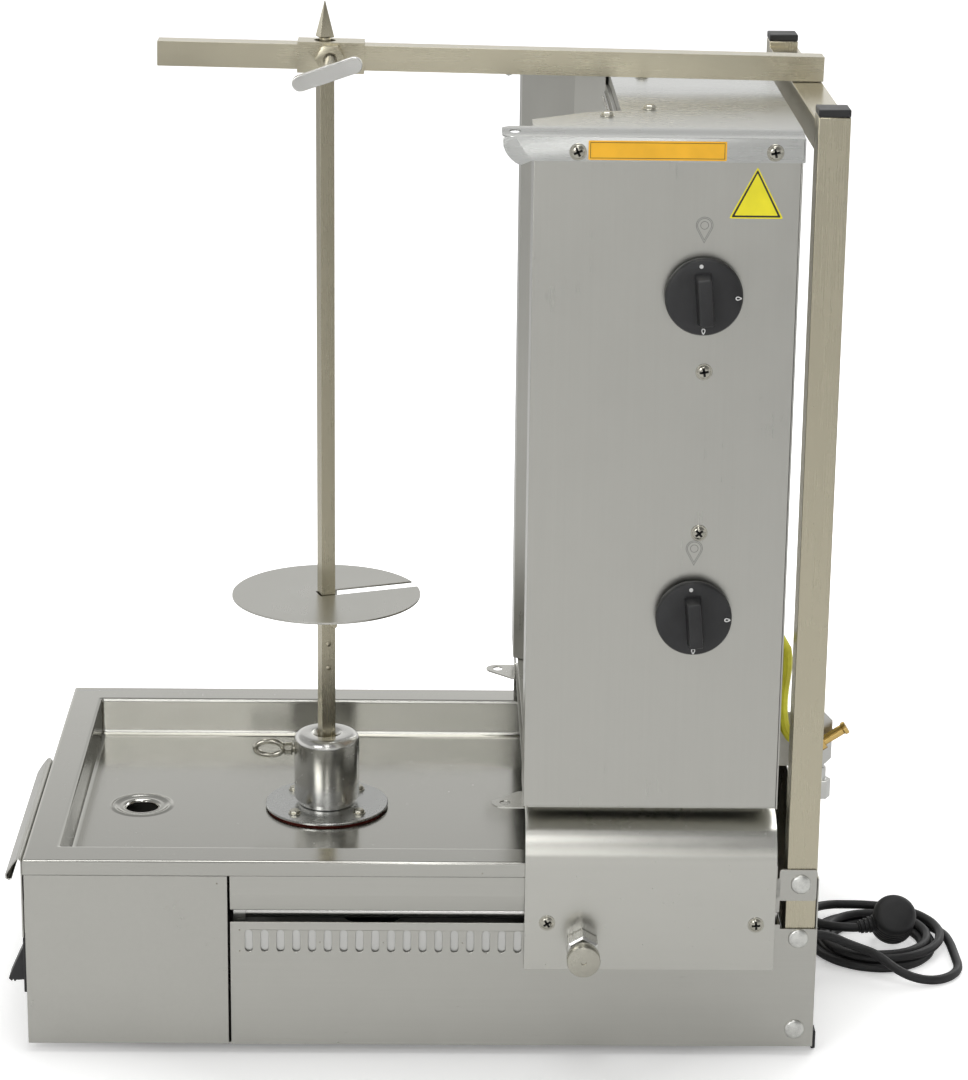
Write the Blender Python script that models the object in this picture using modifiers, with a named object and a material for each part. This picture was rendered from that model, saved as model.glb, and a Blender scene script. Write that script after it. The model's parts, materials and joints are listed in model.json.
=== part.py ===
"""Vertical rotisserie broiler (gas gyros grill): two burners, a motor-driven spit and a sliding carriage.

The design frame has X = 0 on the centre plane, with +X the knob side, Y = 0 on the front face of the base,
with +Y towards the rear, and Z = 0 on the bench.  Design lengths are in millimetres, and the helper
functions turn them into metres.  The empty "machine" shifts the design frame so that the origin is at the
middle of the machine's box, without the mains cord.
"""

import math

import bmesh
import bpy
from mathutils import Matrix, Vector

MM = 0.001
GAP = 0.3                                   # clearance between pieces that touch
WELD = 0.00001                              # weld distance for meshes made from curves, in metres
SMOOTH_ANGLE = math.radians(35)             # edges sharper than this are drawn as edges

# Middle of the machine's box in the design frame
CENTRE_X = 16.9
CENTRE_Y = 328.23

# Base cabinet
HALF_WIDTH = 205.0
LENGTH = 643.0
FOOT_HEIGHT = 8.0
SHEET = 1.2
PANEL_TOP = 156.7
FRONT_BLOCK = 164.0                         # how far the front cover wraps back along the sides
SIDE_START = 166.0
INNER_FACE = HALF_WIDTH - SHEET
RUNNER_SLOT = (116.6, 125.0)                # bottom and top of the long slot that the carriage runs in
PANEL_SLOT = (90.4, 109.8)
PANEL_SLOT_WIDTH = 6.4
PANEL_SLOT_FIRST = 181.0
PANEL_SLOT_PITCH = 12.84
PANEL_SLOT_COUNT = 32

# Drip tray on top of the base
RIM_TOP = 170.0
RIM_HALF_WIDTH = 206.0
RIM_FRONT = -1.0
RIM_REAR = 609.0
RECESS_HALF_WIDTH = 175.0
RECESS_FRONT = 26.8
RECESS_REAR = 585.0
TRAY_FLOOR = 136.6
DRAIN = (2.0, 78.0)
DRAIN_RADIUS = 13.0

# Spit drive
SPIT_X = 0.0
SPIT_Y = 238.0
SPIT_TURN = math.radians(20)
FLANGE_RADIUS = 53.0
HUB_RADIUS = 28.0
HUB_BOTTOM = 140.7
HUB_TOP = 204.5
SOCKET_RADIUS = 9.2
SOCKET_FLOOR = 155.7
BAR = 12.0
BAR_BOTTOM = 156.0
NECK_BOTTOM = 774.0
POINT_BASE = 803.5
POINT_TOP = 833.0
PIN_HEIGHT = 308.0
DISC_HEIGHT = 329.0
DISC_RADIUS = 80.0
DISC_SLOT = 14.5
WING_HEIGHT = 189.3

# Posts, crossbar and arm
POST = 25.0
POST_FRONT = 616.7
POST_TOP = 776.6
POST_OUTER = 203.5
CAP_TOP = 782.6
CROSSBAR_TOP = 772.0
ARM = 20.0
ARM_FRONT = 103.0
ARM_TILT = -0.015                           # the arm's front end sits a little high
SLEEVE = 25.0
SLEEVE_FRONT = 215.7
SLEEVE_REAR = 269.8
HOLE_RADIUS = 8.8                           # lets the square bar pass through sleeve and arm

# Burner carriage
CARRIAGE_HALF = 209.0
CARRIAGE_FRONT = 402.0
SADDLE_FRONT = 404.5
CARRIAGE_REAR = 605.7
COVER_BOTTOM = 78.0
ROLL_RADIUS = 36.0
SADDLE_TOP = 206.0
CASING_BOTTOM = 220.3
CASING_TOP = 760.0
WING_POINTS = ((153.0, 402.0), (118.0, 446.0), (110.0, 472.0))
BURNER_Y = 474.0
BURNER_HALF = (98.0, 114.0)
KNOB_Y = 533.0
KNOB_HEIGHTS = {"upper": 641.0, "lower": 383.2}
KNOB_RADIUS = 30.0
ROD_X = 189.0
ROD_Z = 120.4
ROD_RADIUS = 6.0
PLUNGER = (451.5, 100.0)

# Gas inlet and hose at the carriage's rear
INLET_X = 120.0
INLET_Z = 247.0
HOSE_Z = 336.0

# Front controls
SWITCH_X = (170.0, 200.0)
SWITCH_Z = (51.0, 99.0)
ROCKER_PIVOT = (4.0, 75.0)
DRAWER_X = (-20.0, 199.0)
DRAWER_Z = (104.0, 132.6)
DRAWER_DEPTH = 158.0

# Mains cord
CORD_RADIUS = 4.0
COIL_CENTRE = (-15.0, 724.0)
COIL_RADIUS = 61.0
COIL_BAND = 25.0
COIL_HEIGHT = 16.0
GLAND = (30.0, 30.0)
CORD_ROUTE = (
    (30.0, 665.6, 30.0), (30.0, 672.0, 29.7), (30.8, 681.0, 27.4), (33.4, 692.0, 23.6), (38.6, 703.5, 21.0),
    (46.5, 714.5, 19.6), (53.2, 722.2, 16.6), (59.4, 729.3, 13.2), (65.0, 737.6, 10.0), (68.1, 747.1, 7.3),
    (68.4, 757.2, 5.4), (66.0, 766.9, 4.4), (61.0, 775.6, 4.1), (53.8, 782.5, 4.1), (44.9, 787.2, 4.1),
    (35.1, 789.3, 4.1), (22.0, 789.6, 4.1), (10.0, 789.6, 4.1), (0.0, 789.5, 4.1), (-10.0, 789.3, 4.1),
)
PLUG_CENTRE = (-12.0, 738.0, 26.8)
PLUG_TILT = math.radians(45)
PLUG_RADIUS = 19.0
PLUG_DEPTH = 30.0
PLUG_RELIEF = 33.0
RELIEF_TURN = math.radians(14)

COLLECTIONS = {}
MATERIALS = {}


# ---------------------------------------------------------------- helpers

def clear_scene():
    for item in list(bpy.data.objects):
        bpy.data.objects.remove(item, do_unlink=True)


def collection(name):
    if name not in COLLECTIONS:
        made = bpy.data.collections.new(name)
        bpy.context.scene.collection.children.link(made)
        COLLECTIONS[name] = made
    return COLLECTIONS[name]


def material(name, colour, roughness, metallic):
    if name not in MATERIALS:
        made = bpy.data.materials.new(name)
        made.use_nodes = True
        shader = made.node_tree.nodes["Principled BSDF"]
        shader.inputs["Base Color"].default_value = (*colour, 1.0)
        shader.inputs["Roughness"].default_value = roughness
        shader.inputs["Metallic"].default_value = metallic
        MATERIALS[name] = made
    return MATERIALS[name]


def steel():
    return material("brushed_steel", (0.60, 0.60, 0.58), 0.32, 1.0)


def black_plastic():
    return material("black_plastic", (0.02, 0.02, 0.02), 0.45, 0.0)


def rubber():
    return material("black_rubber", (0.02, 0.02, 0.02), 0.65, 0.0)


def brass():
    return material("brass", (0.70, 0.50, 0.18), 0.30, 1.0)


def add(name, mesh, finish, origin=(0, 0, 0)):
    """Put a mesh given in metres in the design frame into the machine, with its origin at a point in mm."""
    centre = Vector(origin) * MM
    mesh.transform(Matrix.Translation(-centre))
    item = bpy.data.objects.new(name, mesh)
    collection("vertical_rotisserie_broiler").objects.link(item)
    item.parent = bpy.data.objects["machine"]
    item.location = centre
    mesh.materials.clear()
    mesh.materials.append(finish)
    return item


def tool(mesh):
    """A hidden solid that cuts or joins a part."""
    item = bpy.data.objects.new("cutter", mesh)
    collection("cutters").objects.link(item)
    item.parent = bpy.data.objects["machine"]
    item.hide_render = True
    item.display_type = "WIRE"
    return item


def boolean(item, mesh, operation):
    step = item.modifiers.new(operation.lower(), "BOOLEAN")
    step.operation = operation
    step.solver = "EXACT"
    step.object = tool(mesh)


def cut(item, *meshes):
    for mesh in meshes:
        boolean(item, mesh, "DIFFERENCE")


def join(item, *meshes):
    for mesh in meshes:
        boolean(item, mesh, "UNION")


def mesh_from(bm, name="mesh"):
    bmesh.ops.recalc_face_normals(bm, faces=bm.faces)
    mesh = bpy.data.meshes.new(name)
    bm.to_mesh(mesh)
    bm.free()
    mesh.shade_smooth()
    mesh.set_sharp_from_angle(angle=SMOOTH_ANGLE)
    return mesh


def box(x, y, z):
    """A box between pairs of limits."""
    bm = bmesh.new()
    size = [(high - low) * MM for low, high in (x, y, z)]
    centre = [(high + low) / 2 * MM for low, high in (x, y, z)]
    place = Matrix.Translation(centre) @ Matrix.Diagonal((*size, 1.0))
    bmesh.ops.create_cube(bm, size=1.0, matrix=place)
    return mesh_from(bm)


def pointing(axis):
    """The rotation that turns +Z to +X, +Y or +Z."""
    turns = {"X": Matrix.Rotation(math.pi / 2, 4, "Y"), "Y": Matrix.Rotation(-math.pi / 2, 4, "X")}
    return turns.get(axis, Matrix.Identity(4))


def rod(start, length, radius, axis="Z", sides=24, top_radius=None):
    """A cylinder or cone from its start point along an axis."""
    bm = bmesh.new()
    end_radius = radius if top_radius is None else top_radius
    middle = Matrix.Translation((0, 0, length / 2 * MM))
    place = Matrix.Translation(Vector(start) * MM) @ pointing(axis) @ middle
    bmesh.ops.create_cone(bm, cap_ends=True, segments=sides, radius1=radius * MM, radius2=end_radius * MM,
                          depth=length * MM, matrix=place)
    return mesh_from(bm)


def evaluated_mesh(item):
    """The welded mesh of an object, which is then removed."""
    graph = bpy.context.evaluated_depsgraph_get()
    mesh = bpy.data.meshes.new_from_object(item.evaluated_get(graph))
    bpy.data.objects.remove(item)
    bm = bmesh.new()
    bm.from_mesh(mesh)
    bmesh.ops.remove_doubles(bm, verts=bm.verts, dist=WELD)
    return mesh_from(bm)


PLANES = {
    "XY": Matrix.Identity(4),
    "YZ": Matrix(((0, 0, 1, 0), (1, 0, 0, 0), (0, 1, 0, 0), (0, 0, 0, 1))),
    "XZ": Matrix(((1, 0, 0, 0), (0, 0, 1, 0), (0, 1, 0, 0), (0, 0, 0, 1))),
}


def outline(loops, low, high, plane):
    """A flat outline, with holes as further loops, extruded between two heights along the plane's normal."""
    curve = bpy.data.curves.new("outline", "CURVE")
    curve.dimensions = "2D"
    curve.fill_mode = "BOTH"
    curve.extrude = (high - low) / 2 * MM
    for loop in loops:
        spline = curve.splines.new("POLY")
        spline.points.add(len(loop) - 1)
        spline.use_cyclic_u = True
        for point, (u, v) in zip(spline.points, loop):
            point.co = (u * MM, v * MM, 0.0, 1.0)
    item = bpy.data.objects.new("outline", curve)
    bpy.context.scene.collection.objects.link(item)
    mesh = evaluated_mesh(item)
    mesh.transform(PLANES[plane] @ Matrix.Translation((0, 0, (high + low) / 2 * MM)))
    bm = bmesh.new()
    bm.from_mesh(mesh)
    return mesh_from(bm)


def tube(points, radius, resolution=2):
    """A round tube through points."""
    curve = bpy.data.curves.new("tube", "CURVE")
    curve.dimensions = "3D"
    curve.bevel_depth = radius * MM
    curve.bevel_resolution = resolution
    curve.use_fill_caps = True
    spline = curve.splines.new("POLY")
    spline.points.add(len(points) - 1)
    for point, place in zip(spline.points, points):
        point.co = (*(Vector(place) * MM), 1.0)
    item = bpy.data.objects.new("tube", curve)
    bpy.context.scene.collection.objects.link(item)
    return evaluated_mesh(item)


def arc(centre, radius, start, end, steps):
    """Points on an arc, with angles in degrees."""
    angles = [math.radians(start + (end - start) * i / steps) for i in range(steps + 1)]
    return [(centre[0] + radius * math.cos(a), centre[1] + radius * math.sin(a)) for a in angles]


def circle(centre, radius, sides=24):
    return arc(centre, radius, 0, 360 - 360 / sides, sides - 1)


def ellipse(centre, half_u, half_v, sides):
    angles = [2 * math.pi * i / sides for i in range(sides)]
    return [(centre[0] + half_u * math.cos(a), centre[1] + half_v * math.sin(a)) for a in angles]


def rectangle(u, v):
    return [(u[0], v[0]), (u[1], v[0]), (u[1], v[1]), (u[0], v[1])]


def strip(path, thickness):
    """The closed outline of a sheet whose one face follows the path and whose other face is to its left."""
    inner = []
    last = len(path) - 1
    for i, point in enumerate(path):
        here = Vector(point)
        back = (here - Vector(path[i - 1])).normalized() if i > 0 else None
        ahead = (Vector(path[i + 1]) - here).normalized() if i < last else None
        back = back or ahead
        ahead = ahead or back
        normal = Vector((-back.y - ahead.y, back.x + ahead.x)).normalized()
        inner.append(here + normal * thickness / max(normal.dot(Vector((-back.y, back.x))), 0.2))
    return [tuple(p) for p in path] + [tuple(p) for p in reversed(inner)]


def turned(name, profile, place, finish, axis="Z", steps=32):
    """A turned piece: the profile runs from top to bottom as (radius, height) above its place."""
    bm = bmesh.new()
    verts = [bm.verts.new((radius * MM, 0.0, height * MM)) for radius, height in profile]
    for first, second in zip(verts, verts[1:]):
        bm.edges.new((first, second))
    if profile[0][0] > 0:
        bm.edges.new((verts[-1], verts[0]))
    mesh = bpy.data.meshes.new(name)
    bm.to_mesh(mesh)
    bm.free()
    item = add(name, mesh, finish)
    item.location = Vector(place) * MM
    item.rotation_euler = pointing(axis).to_euler()
    screw = item.modifiers.new("turn", "SCREW")
    screw.steps = steps
    screw.render_steps = steps
    screw.use_merge_vertices = True
    screw.merge_threshold = WELD
    screw.use_smooth_shade = True
    return item


def turn_about(mesh, centre, angle, axis):
    pivot = Vector(centre) * MM
    turn = Matrix.Rotation(angle, 4, axis)
    mesh.transform(Matrix.Translation(pivot) @ turn @ Matrix.Translation(-pivot))
    return mesh


def smooth_path(points, spacing):
    """Points about a spacing apart on the Catmull-Rom curve through the given points."""
    knots = [Vector(p) for p in points]
    knots = [knots[0] * 2 - knots[1]] + knots + [knots[-1] * 2 - knots[-2]]
    path = [knots[1]]
    for i in range(1, len(knots) - 2):
        a, b, c, d = knots[i - 1:i + 3]
        steps = max(1, round((c - b).length / spacing))
        for step in range(1, steps + 1):
            t = step / steps
            path.append((b * 2 + (c - a) * t + (a * 2 - b * 5 + c * 4 - d) * t * t
                         + (b * 3 - a - c * 3 + d) * t ** 3) / 2)
    return path


def sided(side, low, high):
    """X limits on the +X side, mirrored when side is -1."""
    return (low, high) if side > 0 else (-high, -low)


# ---------------------------------------------------------------- base cabinet

def make_feet():
    places = [(x, y) for y in (46.0, 590.0) for x in (165.0, -165.0)]
    for number, (x, y) in enumerate(places, 1):
        profile = ((0, FOOT_HEIGHT - GAP), (10, FOOT_HEIGHT - GAP), (11, 0), (0, 0))
        turned(f"foot_{number}", profile, (x, y, 0), rubber(), steps=20)


def make_bottom_pan():
    limit = INNER_FACE - GAP
    length = (SHEET + GAP, LENGTH - SHEET - GAP)
    add("bottom_pan", box((-limit, limit), length, (FOOT_HEIGHT, FOOT_HEIGHT + SHEET)), steel())


def make_front_cover():
    """The U-shaped front, with the switch cut-out, the drawer opening and the two drawer ledges."""
    path = [(-HALF_WIDTH, FRONT_BLOCK), (-HALF_WIDTH, 0), (HALF_WIDTH, 0), (HALF_WIDTH, FRONT_BLOCK)]
    cover = add("front_cover", outline([strip(path, SHEET)], FOOT_HEIGHT, PANEL_TOP, "XY"), steel())
    near_ledge = (DRAWER_X[1] + GAP, INNER_FACE + 0.4)
    far_ledge = (DRAWER_X[0] - 4, DRAWER_X[0] + 6)
    ledge_top = DRAWER_Z[0] - GAP
    join(cover, box(near_ledge, (0.4, DRAWER_DEPTH), (ledge_top - 2.5, ledge_top)),
         box(far_ledge, (0.4, DRAWER_DEPTH), (ledge_top - 2.5, ledge_top)))
    switch_x = (SWITCH_X[0] + 2.5, SWITCH_X[1] - 2.5)
    switch_z = (SWITCH_Z[0] + 2.5, SWITCH_Z[1] - 2.5)
    drawer_x = (DRAWER_X[0] - GAP, DRAWER_X[1] + GAP)
    cut(cover, box(switch_x, (-5, 8), switch_z), box(drawer_x, (-5, 5), (ledge_top, DRAWER_Z[1] + GAP)))


def panel_slot(y):
    half = PANEL_SLOT_WIDTH / 2
    return rectangle((y - half, y + half), PANEL_SLOT)


def make_side_panels():
    slots = [panel_slot(PANEL_SLOT_FIRST + PANEL_SLOT_PITCH * i) for i in range(PANEL_SLOT_COUNT)]
    top = RUNNER_SLOT[0]
    edge = [(SIDE_START, FOOT_HEIGHT), (LENGTH, FOOT_HEIGHT), (LENGTH, 112.9), (612.6, 112.9), (612.6, top),
            (SIDE_START, top)]
    for name, side in (("near", 1), ("far", -1)):
        sheet = sided(side, INNER_FACE, HALF_WIDTH)
        add(f"side_panel_{name}", outline([edge] + slots, *sheet, "YZ"), steel())


def make_upper_rails():
    """The band above the runner slot, folded in at its foot, with a tab that is bolted to the post."""
    low = RUNNER_SLOT[1] + 0.4
    foot = [(HALF_WIDTH, 140.0), (HALF_WIDTH - 2.6, low + 0.4), (HALF_WIDTH - 8.0, low)]
    for name, side in (("near", 1), ("far", -1)):
        path = [(HALF_WIDTH, PANEL_TOP)] + foot
        points = [(side * x, z) for x, z in strip(list(reversed(path)), SHEET)]
        rail = add(f"upper_rail_{name}", outline([points], SIDE_START, 611.5, "XZ"), steel())
        tab = [(600.0, PANEL_TOP - 14), (641.0, 137.7), (641.0, 161.7), (638.0, 164.7), (613.6, 164.7),
               (610.6, 161.7), (610.6, PANEL_TOP - 2), (600.0, PANEL_TOP - 2)]
        join(rail, outline([tab], *sided(side, INNER_FACE, HALF_WIDTH), "YZ"))


def make_rear_panel():
    wall = (LENGTH - SHEET, LENGTH)
    limit = INNER_FACE - GAP
    panel = add("rear_panel", box((-limit, limit), wall, (FOOT_HEIGHT, PANEL_TOP)), steel())
    cut(panel, rod((GLAND[0], LENGTH - 5, GLAND[1]), 10, 8.4, "Y"))


def make_tray():
    """A sheet pan: skirt, rim, recess walls and floor as nested rectangles, thickened inwards."""
    bm = bmesh.new()
    rim = (-RIM_HALF_WIDTH, RIM_HALF_WIDTH, RIM_FRONT, RIM_REAR)
    hole = (-RECESS_HALF_WIDTH, RECESS_HALF_WIDTH, RECESS_FRONT, RECESS_REAR)
    levels = [(rim, PANEL_TOP + GAP), (rim, RIM_TOP), (hole, RIM_TOP), (hole, TRAY_FLOOR)]
    rings = []
    for (x0, x1, y0, y1), z in levels:
        corners = ((x0, y0), (x1, y0), (x1, y1), (x0, y1))
        rings.append([bm.verts.new(Vector((x, y, z)) * MM) for x, y in corners])
    for lower, upper in zip(rings, rings[1:]):
        for i in range(4):
            bm.faces.new((lower[i], lower[i - 3], upper[i - 3], upper[i]))
    bm.faces.new(rings[-1])
    mesh = bpy.data.meshes.new("tray")
    bm.to_mesh(mesh)
    bm.free()
    tray = add("drip_tray", mesh, steel())
    thicken = tray.modifiers.new("sheet", "SOLIDIFY")
    thicken.thickness = (SHEET - 0.2) * MM
    thicken.offset = -1.0
    thicken.use_even_offset = True
    cut(tray, rod((*DRAIN, TRAY_FLOOR - 5), 10, DRAIN_RADIUS),
        rod((SPIT_X, SPIT_Y, TRAY_FLOOR - 5), 10, 12.0))


def make_guide_rods():
    """Round rods inside the base, with end blocks, that the carriage runners slide on."""
    for name, side in (("near", 1), ("far", -1)):
        mesh = rod((side * ROD_X, 172, ROD_Z), 437, ROD_RADIUS, "Y", 20)
        guide = add(f"guide_rod_{name}", mesh, steel())
        for y in ((168, 178), (602, 611)):
            join(guide, box(sided(side, ROD_X - 8, INNER_FACE - 8.4), y, (107, 133)))


# ---------------------------------------------------------------- posts, crossbar, arm and clamp

def square_tube(size, wall):
    outer = rectangle((-size / 2, size / 2), (-size / 2, size / 2))
    inner_half = size / 2 - wall
    return [outer, rectangle((-inner_half, inner_half), (-inner_half, inner_half))]


def shifted(loops, du, dv):
    return [[(u + du, v + dv) for u, v in loop] for loop in loops]


def make_posts():
    centre_y = POST_FRONT + POST / 2 - 0.3
    for name, side in (("near", 1), ("far", -1)):
        x = side * (POST_OUTER - POST / 2)
        loops = shifted(square_tube(POST - 0.4, 1.5), x, centre_y)
        add(f"post_{name}", outline(loops, FOOT_HEIGHT + SHEET + GAP, POST_TOP, "XY"), steel())
        half = POST / 2 - 0.2
        top = box((x - half, x + half), (centre_y - half, centre_y + half), (POST_TOP + GAP, CAP_TOP))
        plug = 10.4
        cap = add(f"post_cap_{name}", top, black_plastic())
        plug_y = (centre_y - plug, centre_y + plug)
        join(cap, box((x - plug, x + plug), plug_y, (POST_TOP - 12, POST_TOP + 1)))
    span = POST_OUTER - POST - GAP
    loops = shifted(square_tube(POST - 0.6, 1.5), centre_y, CROSSBAR_TOP - POST / 2 + 0.3)
    add("crossbar", outline(loops, -span, span, "YZ"), steel())


def make_arm():
    """The square tube lying on the crossbar, tilted about the crossbar's rear edge."""
    pivot = (0, LENGTH - 1, CROSSBAR_TOP)
    bottom = CROSSBAR_TOP + 0.4
    middle = bottom + ARM / 2
    mesh = outline(shifted(square_tube(ARM, 1.5), 0, middle), ARM_FRONT, pivot[1], "XZ")
    arm = add("support_arm", turn_about(mesh, pivot, ARM_TILT, "X"), steel())
    end = box((-ARM / 2, ARM / 2), (ARM_FRONT - 0.2, ARM_FRONT + 1.5), (bottom, bottom + ARM))
    join(arm, turn_about(end, pivot, ARM_TILT, "X"))
    cut(arm, rod((SPIT_X, SPIT_Y, 760), 60, HOLE_RADIUS, sides=32))
    mesh = outline(shifted(square_tube(SLEEVE, 2.2), 0, middle), SLEEVE_FRONT, SLEEVE_REAR, "XZ")
    sleeve = add("arm_sleeve", turn_about(mesh, pivot, ARM_TILT, "X"), steel())
    cut(sleeve, rod((SPIT_X, SPIT_Y, 760), 60, HOLE_RADIUS, sides=32))
    centre = Vector((0, (SLEEVE_FRONT + SLEEVE_REAR) / 2, middle + 4.6 + 1.2))
    join(sleeve, rod((SLEEVE / 2 - 0.5, centre.y, centre.z), 8.5, 12.4, "X", 6))
    cut(sleeve, rod((5, centre.y, centre.z), 30, 5.6, "X"))
    return centre


def make_clamp_screw(centre):
    """A screw with a flat T-bar that presses on the arm's near face."""
    start = ARM / 2 + GAP
    reach = 82.0
    screw = add("clamp_screw", rod((start, centre.y, centre.z), reach, 4.2, "X", 20), steel(),
                (start, centre.y, centre.z))
    ends = [(22.5, 0.0), (-22.5, 180.0)]
    loop = []
    for offset, angle in ends:
        loop += arc((offset, 0), 6.5, angle - 90, angle + 90, 8)
    bar = outline([loop], start + reach - 2, start + reach + 3, "YZ")
    bar.transform(Matrix.Rotation(math.radians(19), 4, "X"))
    bar.transform(Matrix.Translation(Vector((0, centre.y, centre.z)) * MM))
    join(screw, bar)


# ---------------------------------------------------------------- spit and its drive

def make_drive():
    gearbox = add("gear_motor", box((-42, 42), (SPIT_Y - 38, SPIT_Y + 72), (90, 131)), black_plastic())
    join(gearbox, rod((0, SPIT_Y + 40, 36), 56, 29, sides=28))
    cut(gearbox, rod((SPIT_X, SPIT_Y, 109.5), 30, 8.6))
    centre = (SPIT_X, SPIT_Y, 0)
    add("drive_shaft", rod((SPIT_X, SPIT_Y, 110), 41, 8.0), steel(), centre)
    turned("flange_gasket", ((FLANGE_RADIUS, 1.0), (FLANGE_RADIUS, 0), (10, 0), (10, 1.0)),
           (SPIT_X, SPIT_Y, TRAY_FLOOR + GAP), material("red_gasket", (0.55, 0.10, 0.05), 0.6, 0.0))
    turned("hub_flange", ((FLANGE_RADIUS, 2.2), (FLANGE_RADIUS, 0), (9, 0), (9, 2.2)),
           (SPIT_X, SPIT_Y, TRAY_FLOOR + 1.6), steel(), steps=40)


def make_hub():
    height = HUB_TOP - HUB_BOTTOM
    shoulder = arc((HUB_RADIUS - 6.5, height - 6.5), 6.5, 90, 0, 4)
    foot = [(HUB_RADIUS, 4.5), (HUB_RADIUS - 3.5, 3.5), (HUB_RADIUS - 3.5, 0), (8.4, 0), (8.4, 11), (0, 11)]
    socket = [(0, SOCKET_FLOOR - HUB_BOTTOM), (SOCKET_RADIUS, SOCKET_FLOOR - HUB_BOTTOM),
              (SOCKET_RADIUS, height - 4), (12.8, height)]
    hub = turned("spit_hub", socket + shoulder + foot, (SPIT_X, SPIT_Y, HUB_BOTTOM), steel(), steps=28)
    cut(hub, rod((SPIT_X, SPIT_Y - 40, WING_HEIGHT), 34, 4.4, "Y"))


def make_wing_bolt():
    """The clamping bolt in the hub's side, with an oval loop for a head."""
    inner = SPIT_Y - SOCKET_RADIUS - GAP
    outer = SPIT_Y - 36.0
    shank = rod((SPIT_X, outer - 2, WING_HEIGHT), inner - outer + 2, 4.0, "Y", 20)
    bolt = add("wing_bolt", shank, steel(), (SPIT_X, outer, WING_HEIGHT))
    join(bolt, rod((SPIT_X, outer - 1, WING_HEIGHT), 7.0, 6.2, "Y", 20))
    loop_centre = outer - 13.5
    loop = ellipse((loop_centre, WING_HEIGHT), 14.2, 8.6, 28)
    hole = ellipse((loop_centre, WING_HEIGHT), 9.4, 4.2, 28)
    join(bolt, outline([loop, hole], -2.2, 2.2, "YZ"))


def make_spit():
    """Square bar with a turned neck in the arm and a four-sided point above it."""
    centre = (SPIT_X, SPIT_Y, 0)
    half = BAR / 2
    lower = box((-half, half), (SPIT_Y - half, SPIT_Y + half), (BAR_BOTTOM, NECK_BOTTOM))
    spit = add("spit", turn_about(lower, centre, SPIT_TURN, "Z"), steel(), centre)
    neck = rod((SPIT_X, SPIT_Y, NECK_BOTTOM - 1), POINT_BASE - NECK_BOTTOM + 2, 4.6)
    point = rod((SPIT_X, SPIT_Y, POINT_BASE), POINT_TOP - POINT_BASE, half * math.sqrt(2), "Z", 4, 0.35)
    pin = rod((SPIT_X - 22, SPIT_Y, PIN_HEIGHT), 44, 2.5, "X", 14)
    join(spit, neck, turn_about(point, centre, math.pi / 4 + SPIT_TURN, "Z"),
         turn_about(pin, centre, SPIT_TURN, "Z"))


def make_disc():
    """Meat disc with a slot from its middle to its rim and a saddle that rests on the cross pin."""
    half = DISC_SLOT / 2
    opening = math.degrees(math.asin(half / DISC_RADIUS))
    rim = arc((0, 0), DISC_RADIUS, 90 + opening, 450 - opening, 44)
    slot = [(half, -half), (-half, -half)]
    plate = outline([rim + slot], DISC_HEIGHT, DISC_HEIGHT + 1.5, "XY")
    wall = half + 3
    saddle = [(half, 12), (half, -half), (-half, -half), (-half, 12), (-wall, 12), (-wall, -wall),
              (wall, -wall), (wall, 12)]
    bottom = PIN_HEIGHT + 2.5 + GAP
    shift = Matrix.Translation(Vector((SPIT_X, SPIT_Y, 0)) * MM) @ Matrix.Rotation(SPIT_TURN, 4, "Z")
    plate.transform(shift)
    collar = outline([saddle], bottom, DISC_HEIGHT + 0.5, "XY")
    collar.transform(shift)
    disc = add("meat_disc", plate, steel(), (SPIT_X, SPIT_Y, DISC_HEIGHT))
    join(disc, collar)


# ---------------------------------------------------------------- burner carriage

def make_saddle():
    """The inverted U over the base, with rolled shoulders and the side shields' lower pivot ears."""
    side = CARRIAGE_HALF
    shoulder = arc((side - ROLL_RADIUS, SADDLE_TOP - ROLL_RADIUS), ROLL_RADIUS, 0, 90, 9)
    half_path = [(side, COVER_BOTTOM)] + shoulder
    path = half_path + [(-x, z) for x, z in reversed(half_path)]
    mesh = outline([strip(path, SHEET)], SADDLE_FRONT, CARRIAGE_REAR + 2, "XZ")
    saddle = add("carriage_saddle", mesh, steel())
    outer, inner = 174.5, 139.0
    half_ear = [(outer, 406.0)] + arc((164.5, 388.0), 10.0, 0, -140, 8) + [(inner, 400.0), (inner, 406.0)]
    for way in (1, -1):
        ear = [(way * x, y) for x, y in half_ear]
        slot = ellipse((way * 164.5, 388.5), 5.2, 4.4, 16)
        tab = box(sided(way, inner, outer), (SADDLE_FRONT, SADDLE_FRONT + SHEET), (205.0, CASING_BOTTOM - 0.7))
        join(saddle, tab, outline([ear, slot], 204.4, 205.6, "XY"))
    cut(saddle, rod((CARRIAGE_HALF - 6, *PLUNGER), 12, 3.6, "X"))


def make_side_casings():
    """Outer panel, front return and splayed reflector wing in one folded sheet on each side."""
    for name, side in (("near", 1), ("far", -1)):
        path = [(CARRIAGE_HALF, CARRIAGE_REAR - SHEET - GAP), (CARRIAGE_HALF, CARRIAGE_FRONT)]
        path += list(WING_POINTS)
        points = [(side * x, y) for x, y in strip(list(reversed(path)), SHEET)]
        mesh = outline([points], CASING_BOTTOM, CASING_TOP, "XY")
        casing = add(f"side_casing_{name}", mesh, steel())
        if side > 0:
            for height in KNOB_HEIGHTS.values():
                cut(casing, rod((CARRIAGE_HALF - 6, KNOB_Y, height), 12, 5.0, "X"))


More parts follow.
